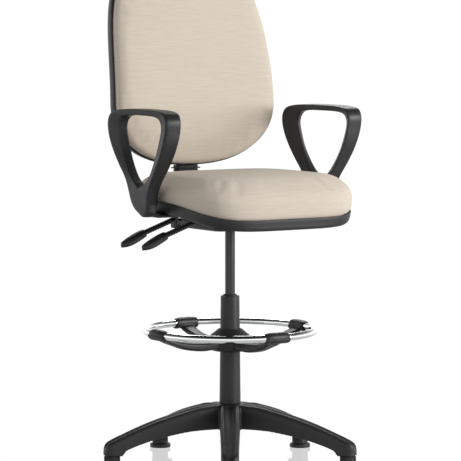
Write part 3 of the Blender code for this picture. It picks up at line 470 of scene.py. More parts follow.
def soft_rubber():
    dark, light, tone = (0.008, 0.008, 0.008), (0.014, 0.014, 0.014), (20.0, 3.0, 0.3, 0.7)
    polish, relief = (150.0, 3.0, 0.55, 0.75), (900.0, 2.0, 0.3, 0.0001)
    return finish("soft_rubber", dark, light, tone, polish, relief).data


VENEER = 0.0015  # the thickness of one layer


def ply_veneer():
    """Beech plywood: veneers seen edge on, and long grain on the faces."""
    n = Nodes("beech_plywood")
    grain = n.noise(60.0, 5.0, (6.0, 0.5, 3.0))
    coords = n.add("ShaderNodeTexCoord").outputs["Object"]
    height = n.add("ShaderNodeSeparateXYZ", inputs={"Vector": coords}).outputs["Z"]
    layers = n.math("MULTIPLY", n.math("PINGPONG", height, VENEER), 0.3 / VENEER)
    tone = n.math("ADD", grain, layers)
    n.set(
        Base_Color=n.ramp(tone, (0.36, 0.23, 0.12), (0.56, 0.41, 0.25), 0.35, 0.95),
        Roughness=n.between(grain, 0.5, 0.7),
        Normal=n.bump(grain, 0.3, 0.0003),
    )
    return n.data


THREAD_PITCH = 0.0014  # one thread and the gap beside it
FLAT_FROM, FLAT_TO = 0.60, 0.80  # where the weave turns, by how level the surface is
FABRIC_DARK, FABRIC_LIGHT = (0.555, 0.485, 0.402), (0.635, 0.563, 0.474)


def woven_fabric():
    """Plain weave. Threads run level round upright faces and from side to side over flat ones."""
    n = Nodes("woven_fabric")
    coords = n.add("ShaderNodeTexCoord").outputs["Object"]
    xyz = n.add("ShaderNodeSeparateXYZ", inputs={"Vector": coords}).outputs
    normal = n.add("ShaderNodeNewGeometry").outputs["Normal"]
    normal = n.add("ShaderNodeSeparateXYZ", inputs={"Vector": normal}).outputs
    inputs = {"Value": n.math("ABSOLUTE", normal["Z"]), "From Min": FLAT_FROM, "From Max": FLAT_TO}
    flat = n.add("ShaderNodeMapRange", inputs=inputs).outputs["Result"]

    def pick(upright, level):
        return n.add("ShaderNodeMix", inputs={"Factor": flat, "A": upright, "B": level}).outputs["Result"]

    across = pick(n.math("ADD", xyz["X"], xyz["Y"]), xyz["X"])
    along = pick(xyz["Z"], xyz["Y"])
    turn = 2 * math.pi / THREAD_PITCH
    warp = n.math("SINE", n.math("MULTIPLY", across, turn))
    weft = n.math("SINE", n.math("MULTIPLY", along, turn))
    weave = n.math("MULTIPLY", warp, weft)
    thick = pick(n.noise(18.0, 2.0, (1.0, 1.0, 18.0)), n.noise(18.0, 2.0, (1.0, 18.0, 1.0)))
    slub = pick(n.noise(40.0, 2.0, (0.5, 0.5, 20.0)), n.noise(40.0, 2.0, (0.5, 20.0, 0.5)))
    tone = n.math("MULTIPLY_ADD", thick, 0.45, n.math("MULTIPLY", slub, 0.45))
    tone = n.math("MULTIPLY_ADD", weave, 0.05, tone)
    n.set(
        Base_Color=n.ramp(tone, FABRIC_DARK, FABRIC_LIGHT, 0.30, 0.66),
        Normal=n.bump(weave, 0.35, 0.00025, n.bump(slub, 0.25, 0.0006)),
    )
    n.shader.inputs["Roughness"].default_value = 0.92
    n.shader.inputs["Specular IOR Level"].default_value = 0.2
    n.shader.inputs["Sheen Weight"].default_value = 0.12
    n.shader.inputs["Sheen Roughness"].default_value = 0.5
    n.shader.inputs["Sheen Tint"].default_value = (0.95, 0.92, 0.86, 1.0)
    return n.data


# The floor's own light as the camera, polished parts and matt parts get it
FLOOR_GLOW, FLOOR_IN_CHROME, FLOOR_FILL = 0.88, 0.70, 0.22
FLOOR_POLISH, FLOOR_ROUGHNESS = 0.28, 0.06  # its share of mirroring and how blurred that is


def studio_floor():
    """White floor of a light table, as bright as the backdrop, with a weak polish."""
    n = Nodes("studio_floor")
    ray = n.add("ShaderNodeLightPath").outputs
    light = n.between(ray["Is Glossy Ray"], FLOOR_FILL, FLOOR_IN_CHROME)
    light = n.math("MAXIMUM", light, n.math("MULTIPLY", ray["Is Camera Ray"], FLOOR_GLOW))
    tint = n.ramp(n.noise(3.0, 2.0), (0.99, 0.99, 0.99), (1.0, 1.0, 1.0))
    glow = n.add("ShaderNodeEmission", inputs={"Color": tint, "Strength": light})
    polish = n.add("ShaderNodeBsdfGlossy", inputs={"Color": tint, "Roughness": FLOOR_ROUGHNESS})
    n.show(FLOOR_POLISH, glow.outputs["Emission"], polish.outputs["BSDF"], "Material Output")
    n.tree.nodes.remove(n.shader)
    return n.data


MATERIALS = {
    "black_nylon": moulded("grained_nylon", (0.016, 0.016, 0.0165), (0.021, 0.021, 0.0215), 0.42, 0.0002),
    "black_gloss": moulded("polished_nylon", (0.020, 0.021, 0.021), (0.027, 0.028, 0.028), 0.34, 0.00003),
    "black_steel": painted_steel(),
    "bright_steel": drawn_metal("bright_steel", (0.60, 0.60, 0.61), 0.30, (1.0, 1.0, 0.04)),
    "chrome": chrome_plate(),
    "plywood": ply_veneer(),
    "rubber": soft_rubber(),
    "fabric": woven_fabric(),
}


# ---------------------------------------------------------------- five-star base
# A leg's stations: distance from the column, underside, top, half width
LEG_STATIONS = (
    (0.0, 0.098, 0.1655, 0.029), (0.026, 0.097, 0.1655, 0.029), (0.09, 0.095, 0.1595, 0.0285),
    (0.123, 0.093, 0.152, 0.028), (0.175, 0.085, 0.1385, 0.027), (0.228, 0.074, 0.1225, 0.026),
    (0.279, 0.059, 0.1035, 0.0252), (0.31, 0.047, 0.0905, 0.0247),
)
LEG_END_STATIONS = (
    (0.3205, SOCKET_BOTTOM, 0.0865, 0.0247),
    (0.345, SOCKET_BOTTOM, 0.0755, 0.0247),
    (0.358, SOCKET_BOTTOM, 0.0680, 0.0210),
    (0.3655, SOCKET_BOTTOM, 0.0590, 0.0138),
    (0.3690, SOCKET_BOTTOM, 0.0480, 0.0050),
)
LEG_WALL, LEG_CEILING = 0.006, 0.022
RIDGE_SHARE, TOP_DIP = 0.64, 0.0058  # two ridges along the leg's top and the dip between them


def leg_ring(distance, bottom, top, half, open_below):
    """A leg's section: a channel open underneath, round shoulders, and a dip between two ridges on top."""
    rise = top - bottom
    wall = min(LEG_WALL, 0.3 * half)
    depth = rise - LEG_CEILING if open_below else 0.002
    side = [(half - 1.3 * wall, bottom + depth), (half - wall, bottom), (half, bottom)]
    side += [(half, top - 0.40 * rise), (0.985 * half, top - 0.24 * rise), (0.93 * half, top - 0.12 * rise)]
    side += [(0.82 * half, top - 0.045 * rise), (RIDGE_SHARE * half, top), (0.44 * half, top - 0.1 * TOP_DIP)]
    crown = [(0.20 * half, top - 0.8 * TOP_DIP), (0.0, top - TOP_DIP)]
    left = [(-y, z) for y, z in reversed(side + crown[:1])]
    return [(distance, y, z) for y, z in side + crown + left]


GLIDE_EDGE_HEIGHT, GLIDE_STEP_HEIGHT, GLIDE_STEP, GLIDE_BODY = 0.011, 0.0125, 0.0225, 0.0205
GLIDE_RIBS, GLIDE_RIB_CIRCLE = 30, 0.0212
HUB_INSIDE, STAR_VOXEL, STAR_PASSES = 0.024, 0.0022, 6


def make_star():
    rings = [leg_ring(*row, True) for row in smoothed(LEG_STATIONS, 4)]
    rings += [leg_ring(*row, False) for row in smoothed(LEG_END_STATIONS, 4)]
    leg = loft(rings)
    shapes = [turned(rounded(tube_wall(HUB_INSIDE, HUB_RADIUS, HUB_BOTTOM, HUB_TOP), 0.006))]
    shapes += [moved(leg, turn=angle) for angle in all_round(LEGS, FIRST_LEG_ANGLE)]
    star = make("star_base", joined(shapes), "black_nylon")
    remeshed(star, STAR_VOXEL, STAR_PASSES)
    shaded(star, 55)
    cut(star, turned([(TUBE_CLEARANCE, 0.02), (TUBE_CLEARANCE, 0.30)], 64))
    attach(star, "base", "black_nylon", "base_star")
    shaded(star, 55)


def make_glide(number):
    """A glide's foot: a flange, a step and a body with fine upright ribs."""
    node = f"glide_foot_{number}"
    spot = middle(node) - POST
    flange, top = size(node) / 2, high(node)
    outline = [(0.0, 0.0), (flange, 0.0), (flange, GLIDE_EDGE_HEIGHT), (GLIDE_STEP, GLIDE_STEP_HEIGHT)]
    outline += [(GLIDE_BODY, top), (0.0, top)]
    shapes = [turned(rounded(outline, 0.0024), centre=(spot.x, spot.y))]
    rib = block(-0.0014, 0.0014, -0.0010, 0.0010, 0.0118, top - 0.0015, 0.0006, 0.0005)
    for angle in all_round(GLIDE_RIBS):
        x, y = polar(GLIDE_RIB_CIRCLE, angle)
        shapes.append(moved(rib, (spot.x + x, spot.y + y, 0), angle))
    piece(f"glide_{number}", joined(shapes), "base", "black_nylon", node)


def make_base():
    make_star()
    for number in range(1, LEGS + 1):
        make_glide(number)


# ---------------------------------------------------------------- gas column
def make_column():
    foot, top = low("column_sleeve"), SLEEVE_TOP
    sleeve = [(TUBE_CLEARANCE, foot), (SLEEVE_FOOT_RADIUS, foot), (SLEEVE_TOP_RADIUS, top)]
    sleeve = rounded(sleeve + [(SLEEVE_MOUTH, top), (SLEEVE_MOUTH, top - 0.002)], 0.0016)
    sleeve = turned(sleeve + [Vector((TUBE_CLEARANCE, top - 0.0022))], closed=True)
    piece("tapered_sleeve", sleeve, "base", "black_nylon", "column_sleeve")

    foot, top = low("gas_outer_tube"), high("gas_outer_tube")
    tube = rounded([(STEM_RADIUS, foot), (TUBE_RADIUS, foot), (TUBE_RADIUS, top), (TUBE_BORE, top)], 0.0012)
    tube += [Vector((radius, foot + TUBE_FLOOR)) for radius in (TUBE_BORE, STEM_RADIUS)]
    piece("column_outer_tube", turned(tube, closed=True), "base", "black_steel", "gas_outer_tube")

    bush = tube_wall(BUSH_BORE, BUSH_RADIUS, BUSH_FOOT, high("guide_bush"))
    bush = turned(rounded(bush, 0.0014, closed=True), closed=True)
    piece("mouth_bush", bush, "base", "rubber", "guide_bush")

    radius, foot, top = CYLINDER_RADIUS, low("gas_cylinder"), high("gas_cylinder")
    cylinder = rounded([(STEM_RADIUS, foot), (radius, foot), (radius, top), (BUTTON_RADIUS, top)], 0.0012)
    cylinder += [Vector((BUTTON_RADIUS, top - 0.01)), Vector((STEM_RADIUS, foot + 0.01))]
    piece("column_cylinder", turned(cylinder, closed=True), "seat_frame", "black_steel", "gas_cylinder")


# ---------------------------------------------------------------- foot ring
# A spider arm's stations: distance, middle height, half height, half width
SPIDER_STATIONS = (
    (0.03, 0.335, 0.013, 0.027), (0.06, 0.3335, 0.0128, 0.024), (0.1, 0.3315, 0.0128, 0.0205),
    (0.154, 0.3375, 0.0112, 0.019), (0.19, 0.3475, 0.009, 0.02), (0.212, 0.355, 0.0085, 0.022),
    (0.2236, 0.3585, 0.006, 0.0229),
)
SPIDER_ARMS, SPIDER_VOXEL, SPIDER_PASSES = 4, 0.0016, 4
SPIDER_HUB_FOOT, SPIDER_HUB_TOP = 0.053, 0.060
HUB_BULGE = 0.0040  # how far the spider's hub reaches below the CAD's hub
CLAMP_INNER, CLAMP_OUTER = 0.0114, 0.0158
CLAMP_HALF_ANGLE = math.radians(9)
# The collar's outline: radius and height over its underside, then radius and depth below its top
COLLAR_FLANGE = ((0.0600, 0.0), (0.0570, 0.007))
COLLAR_CONE = ((0.0450, 0.010), (0.0360, 0.0025), (0.0330, 0.0))
COLLAR_GRIPS, COLLAR_GRIP_CIRCLE = 48, 0.0586


def spider_ring(distance, centre, half_height, half_width):
    return [(distance, y, centre + rise) for y, rise in oval(half_width, half_height, 0.7, 40)]


def on_ring(section, angle, lift=0.0):
    """A (radial, height) section round the foot ring's tube, set at an angle round the ring."""
    return [(*polar(RING_RADIUS + out, angle), RING_HEIGHT + lift + up) for out, up in section]


def ring_sweep(section, first, last, steps, closed=False):
    """Sweeps a section round the foot ring's tube from one angle to another."""
    count = steps if closed else steps + 1
    return loft([on_ring(section, first + (last - first) * i / steps) for i in range(count)], closed)


def half_shell(start, shrink=0.0):
    """A half tube's section round the ring, from the angle start on, with rounded lips."""
    outer, inner = CLAMP_OUTER - shrink, CLAMP_INNER
    angles = [start + math.pi * i / 18 for i in range(19)]
    return [polar(outer, angle) for angle in angles] + [polar(inner, angle) for angle in reversed(angles)]


# A clamp cap's half length, and how much thinner it is there
CAP_STATIONS = (
    (0.0, 0.0), (0.35, 0.0), (0.6, 0.0004), (0.8, 0.0013), (0.93, 0.0026), (1.0, 0.0041),
)


def clamp_cap(number):
    """The upper half of a clamp: a half shell that tapers to both ends."""
    middle_angle = 2 * math.pi * number / SPIDER_ARMS
    stations = [(-share, shrink) for share, shrink in CAP_STATIONS[:0:-1]] + list(CAP_STATIONS)
    rings = []
    for share, shrink in smoothed(stations, 3):
        rings.append(on_ring(half_shell(0.0, shrink), middle_angle + share * CLAMP_HALF_ANGLE, GAP / 2))
    return loft(rings)


def make_spider():
    under = SPIDER_BOTTOM - HUB_BULGE
    hub = [(0.0, under), (SPIDER_HUB_FOOT, under), (SPIDER_HUB_TOP, SPIDER_TOP), (0.0, SPIDER_TOP)]
    arm = loft([spider_ring(*row) for row in smoothed(SPIDER_STATIONS, 6)])
    shapes = [turned(rounded(hub, 0.006))]
    for turn in all_round(SPIDER_ARMS):
        shapes.append(moved(arm, turn=turn))
        shapes.append(ring_sweep(half_shell(math.pi), turn - CLAMP_HALF_ANGLE, turn + CLAMP_HALF_ANGLE, 12))
    spider = make("ring_carrier", joined(shapes), "black_nylon")
    remeshed(spider, SPIDER_VOXEL, SPIDER_PASSES)
    shaded(spider, 50)
    cut(spider, turned([(HUB_BORE, 0.30), (HUB_BORE, 0.40)], 64))
    shaded(spider, 50)
    attach(spider, "foot_ring", "black_nylon", "ring_spider")


def make_collar():
    """The locking collar: a low cone with short grips round its edge."""
    base = SPIDER_TOP + GAP
    profile = [(HUB_BORE, base), *((radius, base + up) for radius, up in COLLAR_FLANGE)]
    profile += [*((radius, COLLAR_TOP - down) for radius, down in COLLAR_CONE), (HUB_BORE, COLLAR_TOP)]
    shapes = [turned(rounded(profile, 0.0022, closed=True), closed=True)]
    grip = block(-0.0012, 0.0010, -0.0014, 0.0014, base + 0.001, base + 0.0062, 0.0007, 0.0006)
    for angle in all_round(COLLAR_GRIPS):
        shapes.append(moved(grip, (*polar(COLLAR_GRIP_CIRCLE, angle), 0), angle))
    piece("locking_collar", joined(shapes), "ring_collar", "black_nylon", "ring_collar")


def make_foot_ring():
    tube = [polar(RING_TUBE, angle) for angle in all_round(32)]
    ring = ring_sweep(tube, 0.0, 2 * math.pi, 240, closed=True)
    piece("chromed_ring", ring, "foot_ring", "chrome", "foot_ring_tube")
    make_spider()
    for number in range(1, SPIDER_ARMS + 1):
        piece(f"clamp_cap_{number}", clamp_cap(number), "foot_ring", "black_nylon", f"ring_clamp_{number}")
    make_collar()


# ---------------------------------------------------------------- seat
def seat_ring(inset, height, scale=1.0, steps=180):
    """The seat's outline moved in by inset. height is one number, or a function of the outline's y."""
    half_x, half_y = SEAT_HALF_WIDTH - inset, SEAT_HALF_DEPTH - inset
    ring = []
    for turn in all_round(steps):
        c, s = math.cos(turn), math.sin(turn)
        sum_of_powers = abs(c / half_x) ** SEAT_SQUARENESS + abs(s / half_y) ** SEAT_SQUARENESS
        reach = sum_of_powers ** (-1 / SEAT_SQUARENESS)
        edge_y = SEAT_CENTRE_Y + reach * s
        z = height(edge_y) if callable(height) else height
        ring.append((scale * reach * c, SEAT_CENTRE_Y + scale * reach * s, z))
    return ring


def rim_height(y):
    """The height of the shell's rim, which falls towards the front edge."""
    t = min(max((RIM_DROP_START - y) / RIM_DROP_LENGTH, 0.0), 1.0)
    return RIM_SIDE - RIM_FRONT_DROP * t**1.8


def from_rim(rise):
    return lambda y: rim_height(y) + rise


def under_shell(share, lift=0.0):
    """From the band's lower edge, at share 0, to the flat floor of the shell, at share 1."""
    return lambda y: (1 - share) * (rim_height(y) - BAND_HEIGHT) + share * SHELL_FLOOR + lift


def from_top(rise, share=1.0):
    """The cushion's upper surface, which falls over the front edge by share of SEAT_FRONT_FALL."""

    def height(y):
        t = min(max((SEAT_FALL_START - y) / SEAT_FALL_LENGTH, 0.0), 1.0)
        return SEAT_TOP + rise - share * SEAT_FRONT_FALL * t**2

    return height


# The shell's edge: inset from the outline and height over the rim, up inside it and down outside it
SHELL_EDGE = (
    (0.013, -0.0305), (0.0068, -0.024), (0.0042, -0.012), (0.0028, -0.0006), (0.0022, 0.0),
    (0.0009, 0.0), (0.0003, -0.0006), (0.0, -0.002), (0.0012, -0.012), (0.0026, -0.019),
    (0.0044, -0.025), (0.0068, -0.0295), (0.0092, -0.0323),
)
# Its underside from the band's lower edge to the floor: inset and share of the way
SHELL_DISH = ((0.0200, 0.28), (0.0300, 0.57), (0.0400, 0.82), (0.0480, 0.96))
SHELL_MIDDLE, SHELL_FLOOR_INSET, SHELL_WALL = 0.1500, 0.0560, 0.003


def make_shell():
    """The under-shell: a deep band round the edge that turns under into a shallow dish."""
    lining = SHELL_FLOOR + SHELL_WALL
    rings = [seat_ring(SHELL_MIDDLE, lining, 0.1), seat_ring(SHELL_MIDDLE, lining)]
    rings += [seat_ring(SHELL_FLOOR_INSET, lining), seat_ring(0.0340, under_shell(0.55, SHELL_WALL))]
    rings += [seat_ring(inset, from_rim(rise)) for inset, rise in SHELL_EDGE]
    rings.append(seat_ring(0.0115, under_shell(0.05, -0.0004)))
    rings += [seat_ring(inset, under_shell(share)) for inset, share in SHELL_DISH]
    rings += [seat_ring(SHELL_FLOOR_INSET, SHELL_FLOOR), seat_ring(SHELL_MIDDLE, SHELL_FLOOR)]
    rings.append(seat_ring(SHELL_MIDDLE, SHELL_FLOOR, 0.1))
    piece("seat_under_shell", loft(rings), "seat_frame", "black_nylon", "seat_shell", sharp=50)


CLOTH_VOXEL, CLOTH_PRESSURE, CLOTH_FRAMES = 0.0050, 4.0, 20
COVER_RELAX = 9  # passes that even out the cover's small folds


def swollen(obj, cap, held):
    """Cloth under pressure: the cover swells by at most cap, and not at all where held(point) is 0."""
    remeshed(obj, CLOTH_VOXEL)
    rest = np.array([v.co for v in obj.data.vertices])
    free = np.array([held(Vector(p) - POST) for p in rest])
    pins = obj.vertex_groups.new(name="pins")
    for index in np.flatnonzero(free <= 0.0):
        pins.add([int(index)], 1.0, "REPLACE")
    cloth = obj.modifiers.new("cloth", "CLOTH")
    cloth.settings.use_pressure = True
    cloth.settings.uniform_pressure_force = CLOTH_PRESSURE
    cloth.settings.effector_weights.gravity = 0.0
    cloth.settings.vertex_group_mass = "pins"
    cloth.collision_settings.use_collision = False
    for step in range(1, CLOTH_FRAMES + 1):
        bpy.context.scene.frame_set(step)
    applied(obj)
    bpy.context.scene.frame_set(1)
    swelling = np.array([v.co for v in obj.data.vertices]) - rest
    length = np.maximum(np.linalg.norm(swelling, axis=1), 1e-9)
    swelling *= (np.minimum(length, cap) / length * free)[:, None]
    obj.data.vertices.foreach_set("co", (rest + swelling).ravel())
    obj.vertex_groups.clear()
    relaxing(obj, COVER_RELAX)
    applied(obj)


def refined(obj, levels=1, sharp=60):
    subdivide = obj.modifiers.new("fine", "SUBSURF")
    subdivide.levels = levels
    subdivide.render_levels = levels
    shaded(obj, sharp)


def step_up(value, start, end):
    t = min(max((value - start) / (end - start), 0.0), 1.0)
    return t * t * (3 - 2 * t)


CUSHION_UNDERSIDE = 0.7263
SEAT_COVER_INSET = 0.0030  # the cover starts this much inside its final shape
# Inset and height: the cushion's foot and its side over the rim, and its shoulder against the top
CUSHION_FOOT = ((0.0085, -0.0070), (0.0050, -0.0030), (0.0040, 0.0010))
CUSHION_SIDE = ((0.0000, 0.0035), (-0.0045, 0.0085), (-0.0078, 0.0160))
CUSHION_SHOULDER = (
    (-0.008, -0.043), (-0.0058, -0.035), (-0.001, -0.0268), (0.006, -0.0192), (0.015, -0.0128),
)
# Inset, height against the top, and share of the fall over the front edge
CUSHION_TOP = ((0.0300, -0.0074, 0.9), (0.0440, -0.0032, 0.7), (0.0620, -0.0006, 0.45))
CUSHION_CROWN = ((0.80, 0.0012), (0.60, 0.0022), (0.35, 0.0028), (0.10, 0.0030))  # scale and height


def make_seat_cushion():
    rings = [seat_ring(0.1200, CUSHION_UNDERSIDE, 0.3), seat_ring(0.0450, CUSHION_UNDERSIDE)]
    rings.append(seat_ring(0.0280, lambda y: min(CUSHION_UNDERSIDE, rim_height(y) + 0.010)))
    rings += [seat_ring(inset, from_rim(rise)) for inset, rise in CUSHION_FOOT]
    rings += [seat_ring(inset + SEAT_COVER_INSET, from_rim(rise)) for inset, rise in CUSHION_SIDE]
    rings += [seat_ring(inset + SEAT_COVER_INSET, from_top(rise)) for inset, rise in CUSHION_SHOULDER]
    rings += [seat_ring(inset, from_top(rise, share)) for inset, rise, share in CUSHION_TOP]
    rings += [seat_ring(0.0650, SEAT_TOP + rise, scale) for scale, rise in CUSHION_CROWN]
    cushion = make("seat_upholstery", loft(rings), "fabric")

    def free(p):
        return step_up(p.z, rim_height(p.y) + 0.002, rim_height(p.y) + 0.016)

    swollen(cushion, 0.0040, free)
    refined(cushion)
    attach(cushion, "seat_frame", "fabric", "seat_cushion")


# ---------------------------------------------------------------- mechanism
# Height over the housing's underside, and inset there
HOUSING_EDGE = (
    (0.0, 0.012), (0.001, 0.0085), (0.004, 0.0045), (0.008, 0.0018), (0.013, 0.0004), (0.019, 0.0),
)
HOUSING_CORNER, HOUSING_SLOT_FLOOR, SLOT_ROOM = 0.020, 0.6765, 0.02
HOUSING_RIBS, RIB_SPACING = 6, 0.014


def make_mechanism():
    """The tilt and height mechanism's cover: a ribbed box with slots for the levers and the bar."""
    low_corner, high_corner = (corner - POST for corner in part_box("mechanism_housing"))
    x0, x1, y0, y1 = low_corner.x, high_corner.x, low_corner.y, high_corner.y
    bottom, top = low_corner.z, high_corner.z
    rows = [(bottom + rise, inset) for rise, inset in HOUSING_EDGE] + [(top - 0.0012, 0.0), (top, 0.0012)]
    rings = [plate(x0, x1, y0, y1, z, HOUSING_CORNER, inset) for z, inset in rows]
    housing = make("mechanism_cover", loft(rings), "black_nylon")
    bore = CYLINDER_RADIUS + GAP
    cut(housing, turned([(bore, bottom - SLOT_ROOM), (bore, 0.677)], 48))
    for reach, y in ((0.076, LEVER_YS["height_lever"]), (0.012, LEVER_YS["back_lever"])):
        slot = (x0 - SLOT_ROOM, LEVER_X + reach, y - 0.010, y + 0.010, HOUSING_SLOT_FLOOR, top + SLOT_ROOM)
        cut(housing, block(*slot, 0.003, 0.001))
    slot = (-0.033, 0.033, TILT_Y - 0.018, y1 + SLOT_ROOM, bottom - SLOT_ROOM, 0.690)
    cut(housing, block(*slot, 0.003, 0.001))
    shaded(housing, 35)
    attach(housing, "seat_frame", "black_nylon", "mechanism_housing")

    ribs, ends = [], []
    for i in range(HOUSING_RIBS):
        y = y0 + 0.030 + RIB_SPACING * i
        for x in (0.001 - x1, x1 - 0.001):
            rib = (x - 0.0016, x + 0.0016, y - 0.0012, y + 0.0012, bottom + 0.014, top - 0.004)
            ribs.append(block(*rib, 0.0008, 0.0006))
    piece("mechanism_ribs", joined(ribs), "seat_frame", "black_nylon")
    for side in (-1, 1):
        span = sorted((side * (x1 + 0.003), side * 0.036))
        end = (*span, LEVER_YS["back_lever"] + 0.014, y1 + 0.014, bottom - 0.003, top)
        ends.append(block(*end, 0.008, 0.002))
    piece("mechanism_ends", joined(ends), "seat_frame", "black_nylon")


# ---------------------------------------------------------------- levers
def lever_ring(at, direction, half_y, half_up, flat=1.0, steps=32):
    """A ring round a lever's path at (x, z), square to the direction."""
    along = Vector((direction[0], direction[1])).normalized()
    up = Vector((-along.y, along.x))
    if up.y < 0:
        up = -up
    ring = oval(half_y, half_up, flat, steps)
    return [(at[0] + up.x * rise, out, at[1] + up.y * rise) for out, rise in ring]


def between(a, b, share):
    return a[0] + (b[0] - a[0]) * share, a[1] + (b[1] - a[1]) * share


def minus(a, b):
    return a[0] - b[0], a[1] - b[1]


# A paddle's stations past its shoulder: share of its length, half width, half thickness
PADDLE_STATIONS = (
    (0.0, 0.008, 0.0082), (0.012, 0.0108, 0.011), (0.05, 0.012, 0.0118), (0.2, 0.014, 0.0127),
    (0.45, 0.015, 0.0131), (0.7, 0.0138, 0.012), (0.88, 0.0108, 0.0096), (0.96, 0.0078, 0.0072),
    (0.992, 0.0044, 0.0042), (1.0, 0.0012, 0.0012),
)
PADDLE_UNDERSIDE = 0.0118  # how far the straight underside lies below the axis at the shoulder
RIB_PITCH, RIB_RADIUS, GROOVE_RADIUS = 0.0080, 0.0078, 0.0046
# One rib of the sleeve and the groove before it: share of the pitch, and radius
RIB_PROFILE = ((0.0, GROOVE_RADIUS), (0.25, GROOVE_RADIUS), (0.38, RIB_RADIUS), (0.87, RIB_RADIUS))
SLEEVE_END_RADIUS = 0.0042


def make_lever(body):
    """A lever's ribbed sleeve with the paddle at its end."""
    at = (LEVER_X, LEVER_YS[body], LEVER_Z)
    stem, paddle = minus(GRIP_SHOULDER, GRIP_START), minus(GRIP_TIP, GRIP_SHOULDER)
    ribs = int(math.hypot(*stem) / RIB_PITCH)
    rings = [lever_ring(GRIP_START, stem, SLEEVE_END_RADIUS, SLEEVE_END_RADIUS)]
    for rib in range(ribs):
        for offset, radius in RIB_PROFILE:
            spot = between(GRIP_START, GRIP_SHOULDER, (rib + offset) / ribs)
            rings.append(lever_ring(spot, stem, radius, radius))
    for share, half_y, half_up in smoothed(PADDLE_STATIONS, 4):
        x, z = between(GRIP_SHOULDER, GRIP_TIP, share)
        lift = max(half_up - PADDLE_UNDERSIDE * (1 - share**4), 0.0)
        rings.append(lever_ring((x, z + lift), paddle, half_y, half_up, 0.85))
    piece(body + "_paddle", moved(loft(rings), at), body, "black_gloss", body + "_grip", sharp=45)


# ---------------------------------------------------------------- loop arms
# Round the loop from under the foot, up the rear, along the top and down the front: the outer edge's
# forward distance and height, the opening's edge, and the half thickness at each of the two edges
ARM_STATIONS = (
    (0.015, 0.705, -0.003, 0.789, 0.0165, 0.015), (-0.008, 0.7145, -0.0085, 0.7905, 0.017, 0.015),
    (-0.0335, 0.729, -0.014, 0.794, 0.0175, 0.015), (-0.05, 0.75, -0.02, 0.798, 0.0175, 0.0145),
    (-0.06, 0.775, -0.029, 0.8025, 0.018, 0.0135), (-0.0745, 0.808, -0.0465, 0.817, 0.02, 0.0115),
    (-0.103, 0.843, -0.066, 0.843, 0.023, 0.01), (-0.1287, 0.876, -0.085, 0.875, 0.025, 0.0095),
    (-0.1503, 0.91, -0.099, 0.908, 0.026, 0.0095), (-0.1624, 0.943, -0.108, 0.938, 0.026, 0.0095),
    (-0.1615, 0.967, -0.107, 0.956, 0.026, 0.01), (-0.1473, 0.985, -0.099, 0.97, 0.026, 0.012),
    (-0.1149, 0.9945, -0.0836, 0.9785, 0.0265, 0.015),
    (-0.0522, 0.9995, -0.0418, 0.9825, 0.0275, 0.018), (0.0313, 1.0005, 0.0313, 0.9833, 0.028, 0.019),
    (0.0993, 0.9995, 0.0836, 0.9822, 0.0275, 0.017), (0.1411, 0.994, 0.1076, 0.9765, 0.027, 0.013),
    (0.1568, 0.979, 0.117, 0.964, 0.0265, 0.0105), (0.16, 0.958, 0.1182, 0.946, 0.026, 0.0095),
    (0.1515, 0.925, 0.1084, 0.916, 0.026, 0.0095), (0.13, 0.882, 0.0878, 0.874, 0.025, 0.0095),
    (0.098, 0.838, 0.0615, 0.833, 0.023, 0.01), (0.066, 0.798, 0.038, 0.806, 0.0195, 0.012),
    (0.05, 0.765, 0.016, 0.7935, 0.018, 0.0145), (0.045, 0.735, 0.0075, 0.7905, 0.0175, 0.015),
    (0.0355, 0.712, 0.0015, 0.7892, 0.0165, 0.015),
)
ARM_EDGE_OFFSET = 0.003  # the opening's edge lies this far outside the loop's middle plane
# The opening runs slantwise through the loop: outside it lies further back, and less so towards the foot
ARM_WALL_SLANT, SLANT_START_Z, SLANT_RISE = 0.008, 0.800, 0.080
# Half the section from the opening's edge, at 0, to the outer edge, at 1, and its share of the half thickness
ARM_SECTION = (
    (0.0, 0.3), (0.012, 0.66), (0.04, 0.9), (0.09, 0.985), (0.2, 1.0), (0.5, 1.0), (0.76, 1.0),
    (0.88, 0.985), (0.95, 0.93), (0.985, 0.84), (1.0, 0.7), (1.006, 0.35),
)
# A lug under the seat: distance from the column, rear, front, underside and top
LUG_STATIONS = (
    (0.168, -0.031, 0.031, 0.702, 0.7107), (0.255, -0.031, 0.031, 0.702, 0.7107),
    (0.27, -0.024, 0.032, 0.703, 0.717), (0.282, -0.012, 0.033, 0.708, 0.728),
)


def arm_rings(side):
    """Sections round the loop. side is -1 for the sitter's right and 1 for the left."""
    rings = []
    for outer_u, outer_z, inner_u, inner_z, half_outer, half_inner in smoothed(ARM_STATIONS, 6, closed=True):
        slant = ARM_WALL_SLANT * min(max((inner_z - SLANT_START_Z) / SLANT_RISE, 0.0), 1.0)
        ring = []
        for mirror in (1, -1):
            for q, share in ARM_SECTION[::mirror]:
                x = mirror * share * (half_inner + (half_outer - half_inner) * q)
                u = inner_u + (outer_u - inner_u) * q - mirror * share * slant * (1 - q)
                z = inner_z + (outer_z - inner_z) * q
                ring.append(((x + ARM_EDGE_OFFSET * (1 - q)) * side, -u, z))
        rings.append(ring)
    return rings


def make_arms():
    for side, name in ((-1, "arm_right"), (1, "arm_left")):
        loop = moved(loft(arm_rings(side), closed=True), (side * ARM_X, ARM_Y, 0), side * ARM_TOE_OUT)
        piece(name + "_loop", loop, "seat_frame", "black_nylon", name, sharp=50)
        rings = []
        for x, rear, front, bottom, top in smoothed(LUG_STATIONS, 4):
            flat = softened(-front, -rear, bottom, top, 0.003, 4)
            rings.append([(side * x, y + ARM_Y, z) for y, z in flat])
        piece(name + "_foot", loft(rings), "seat_frame", "black_nylon", sharp=45)


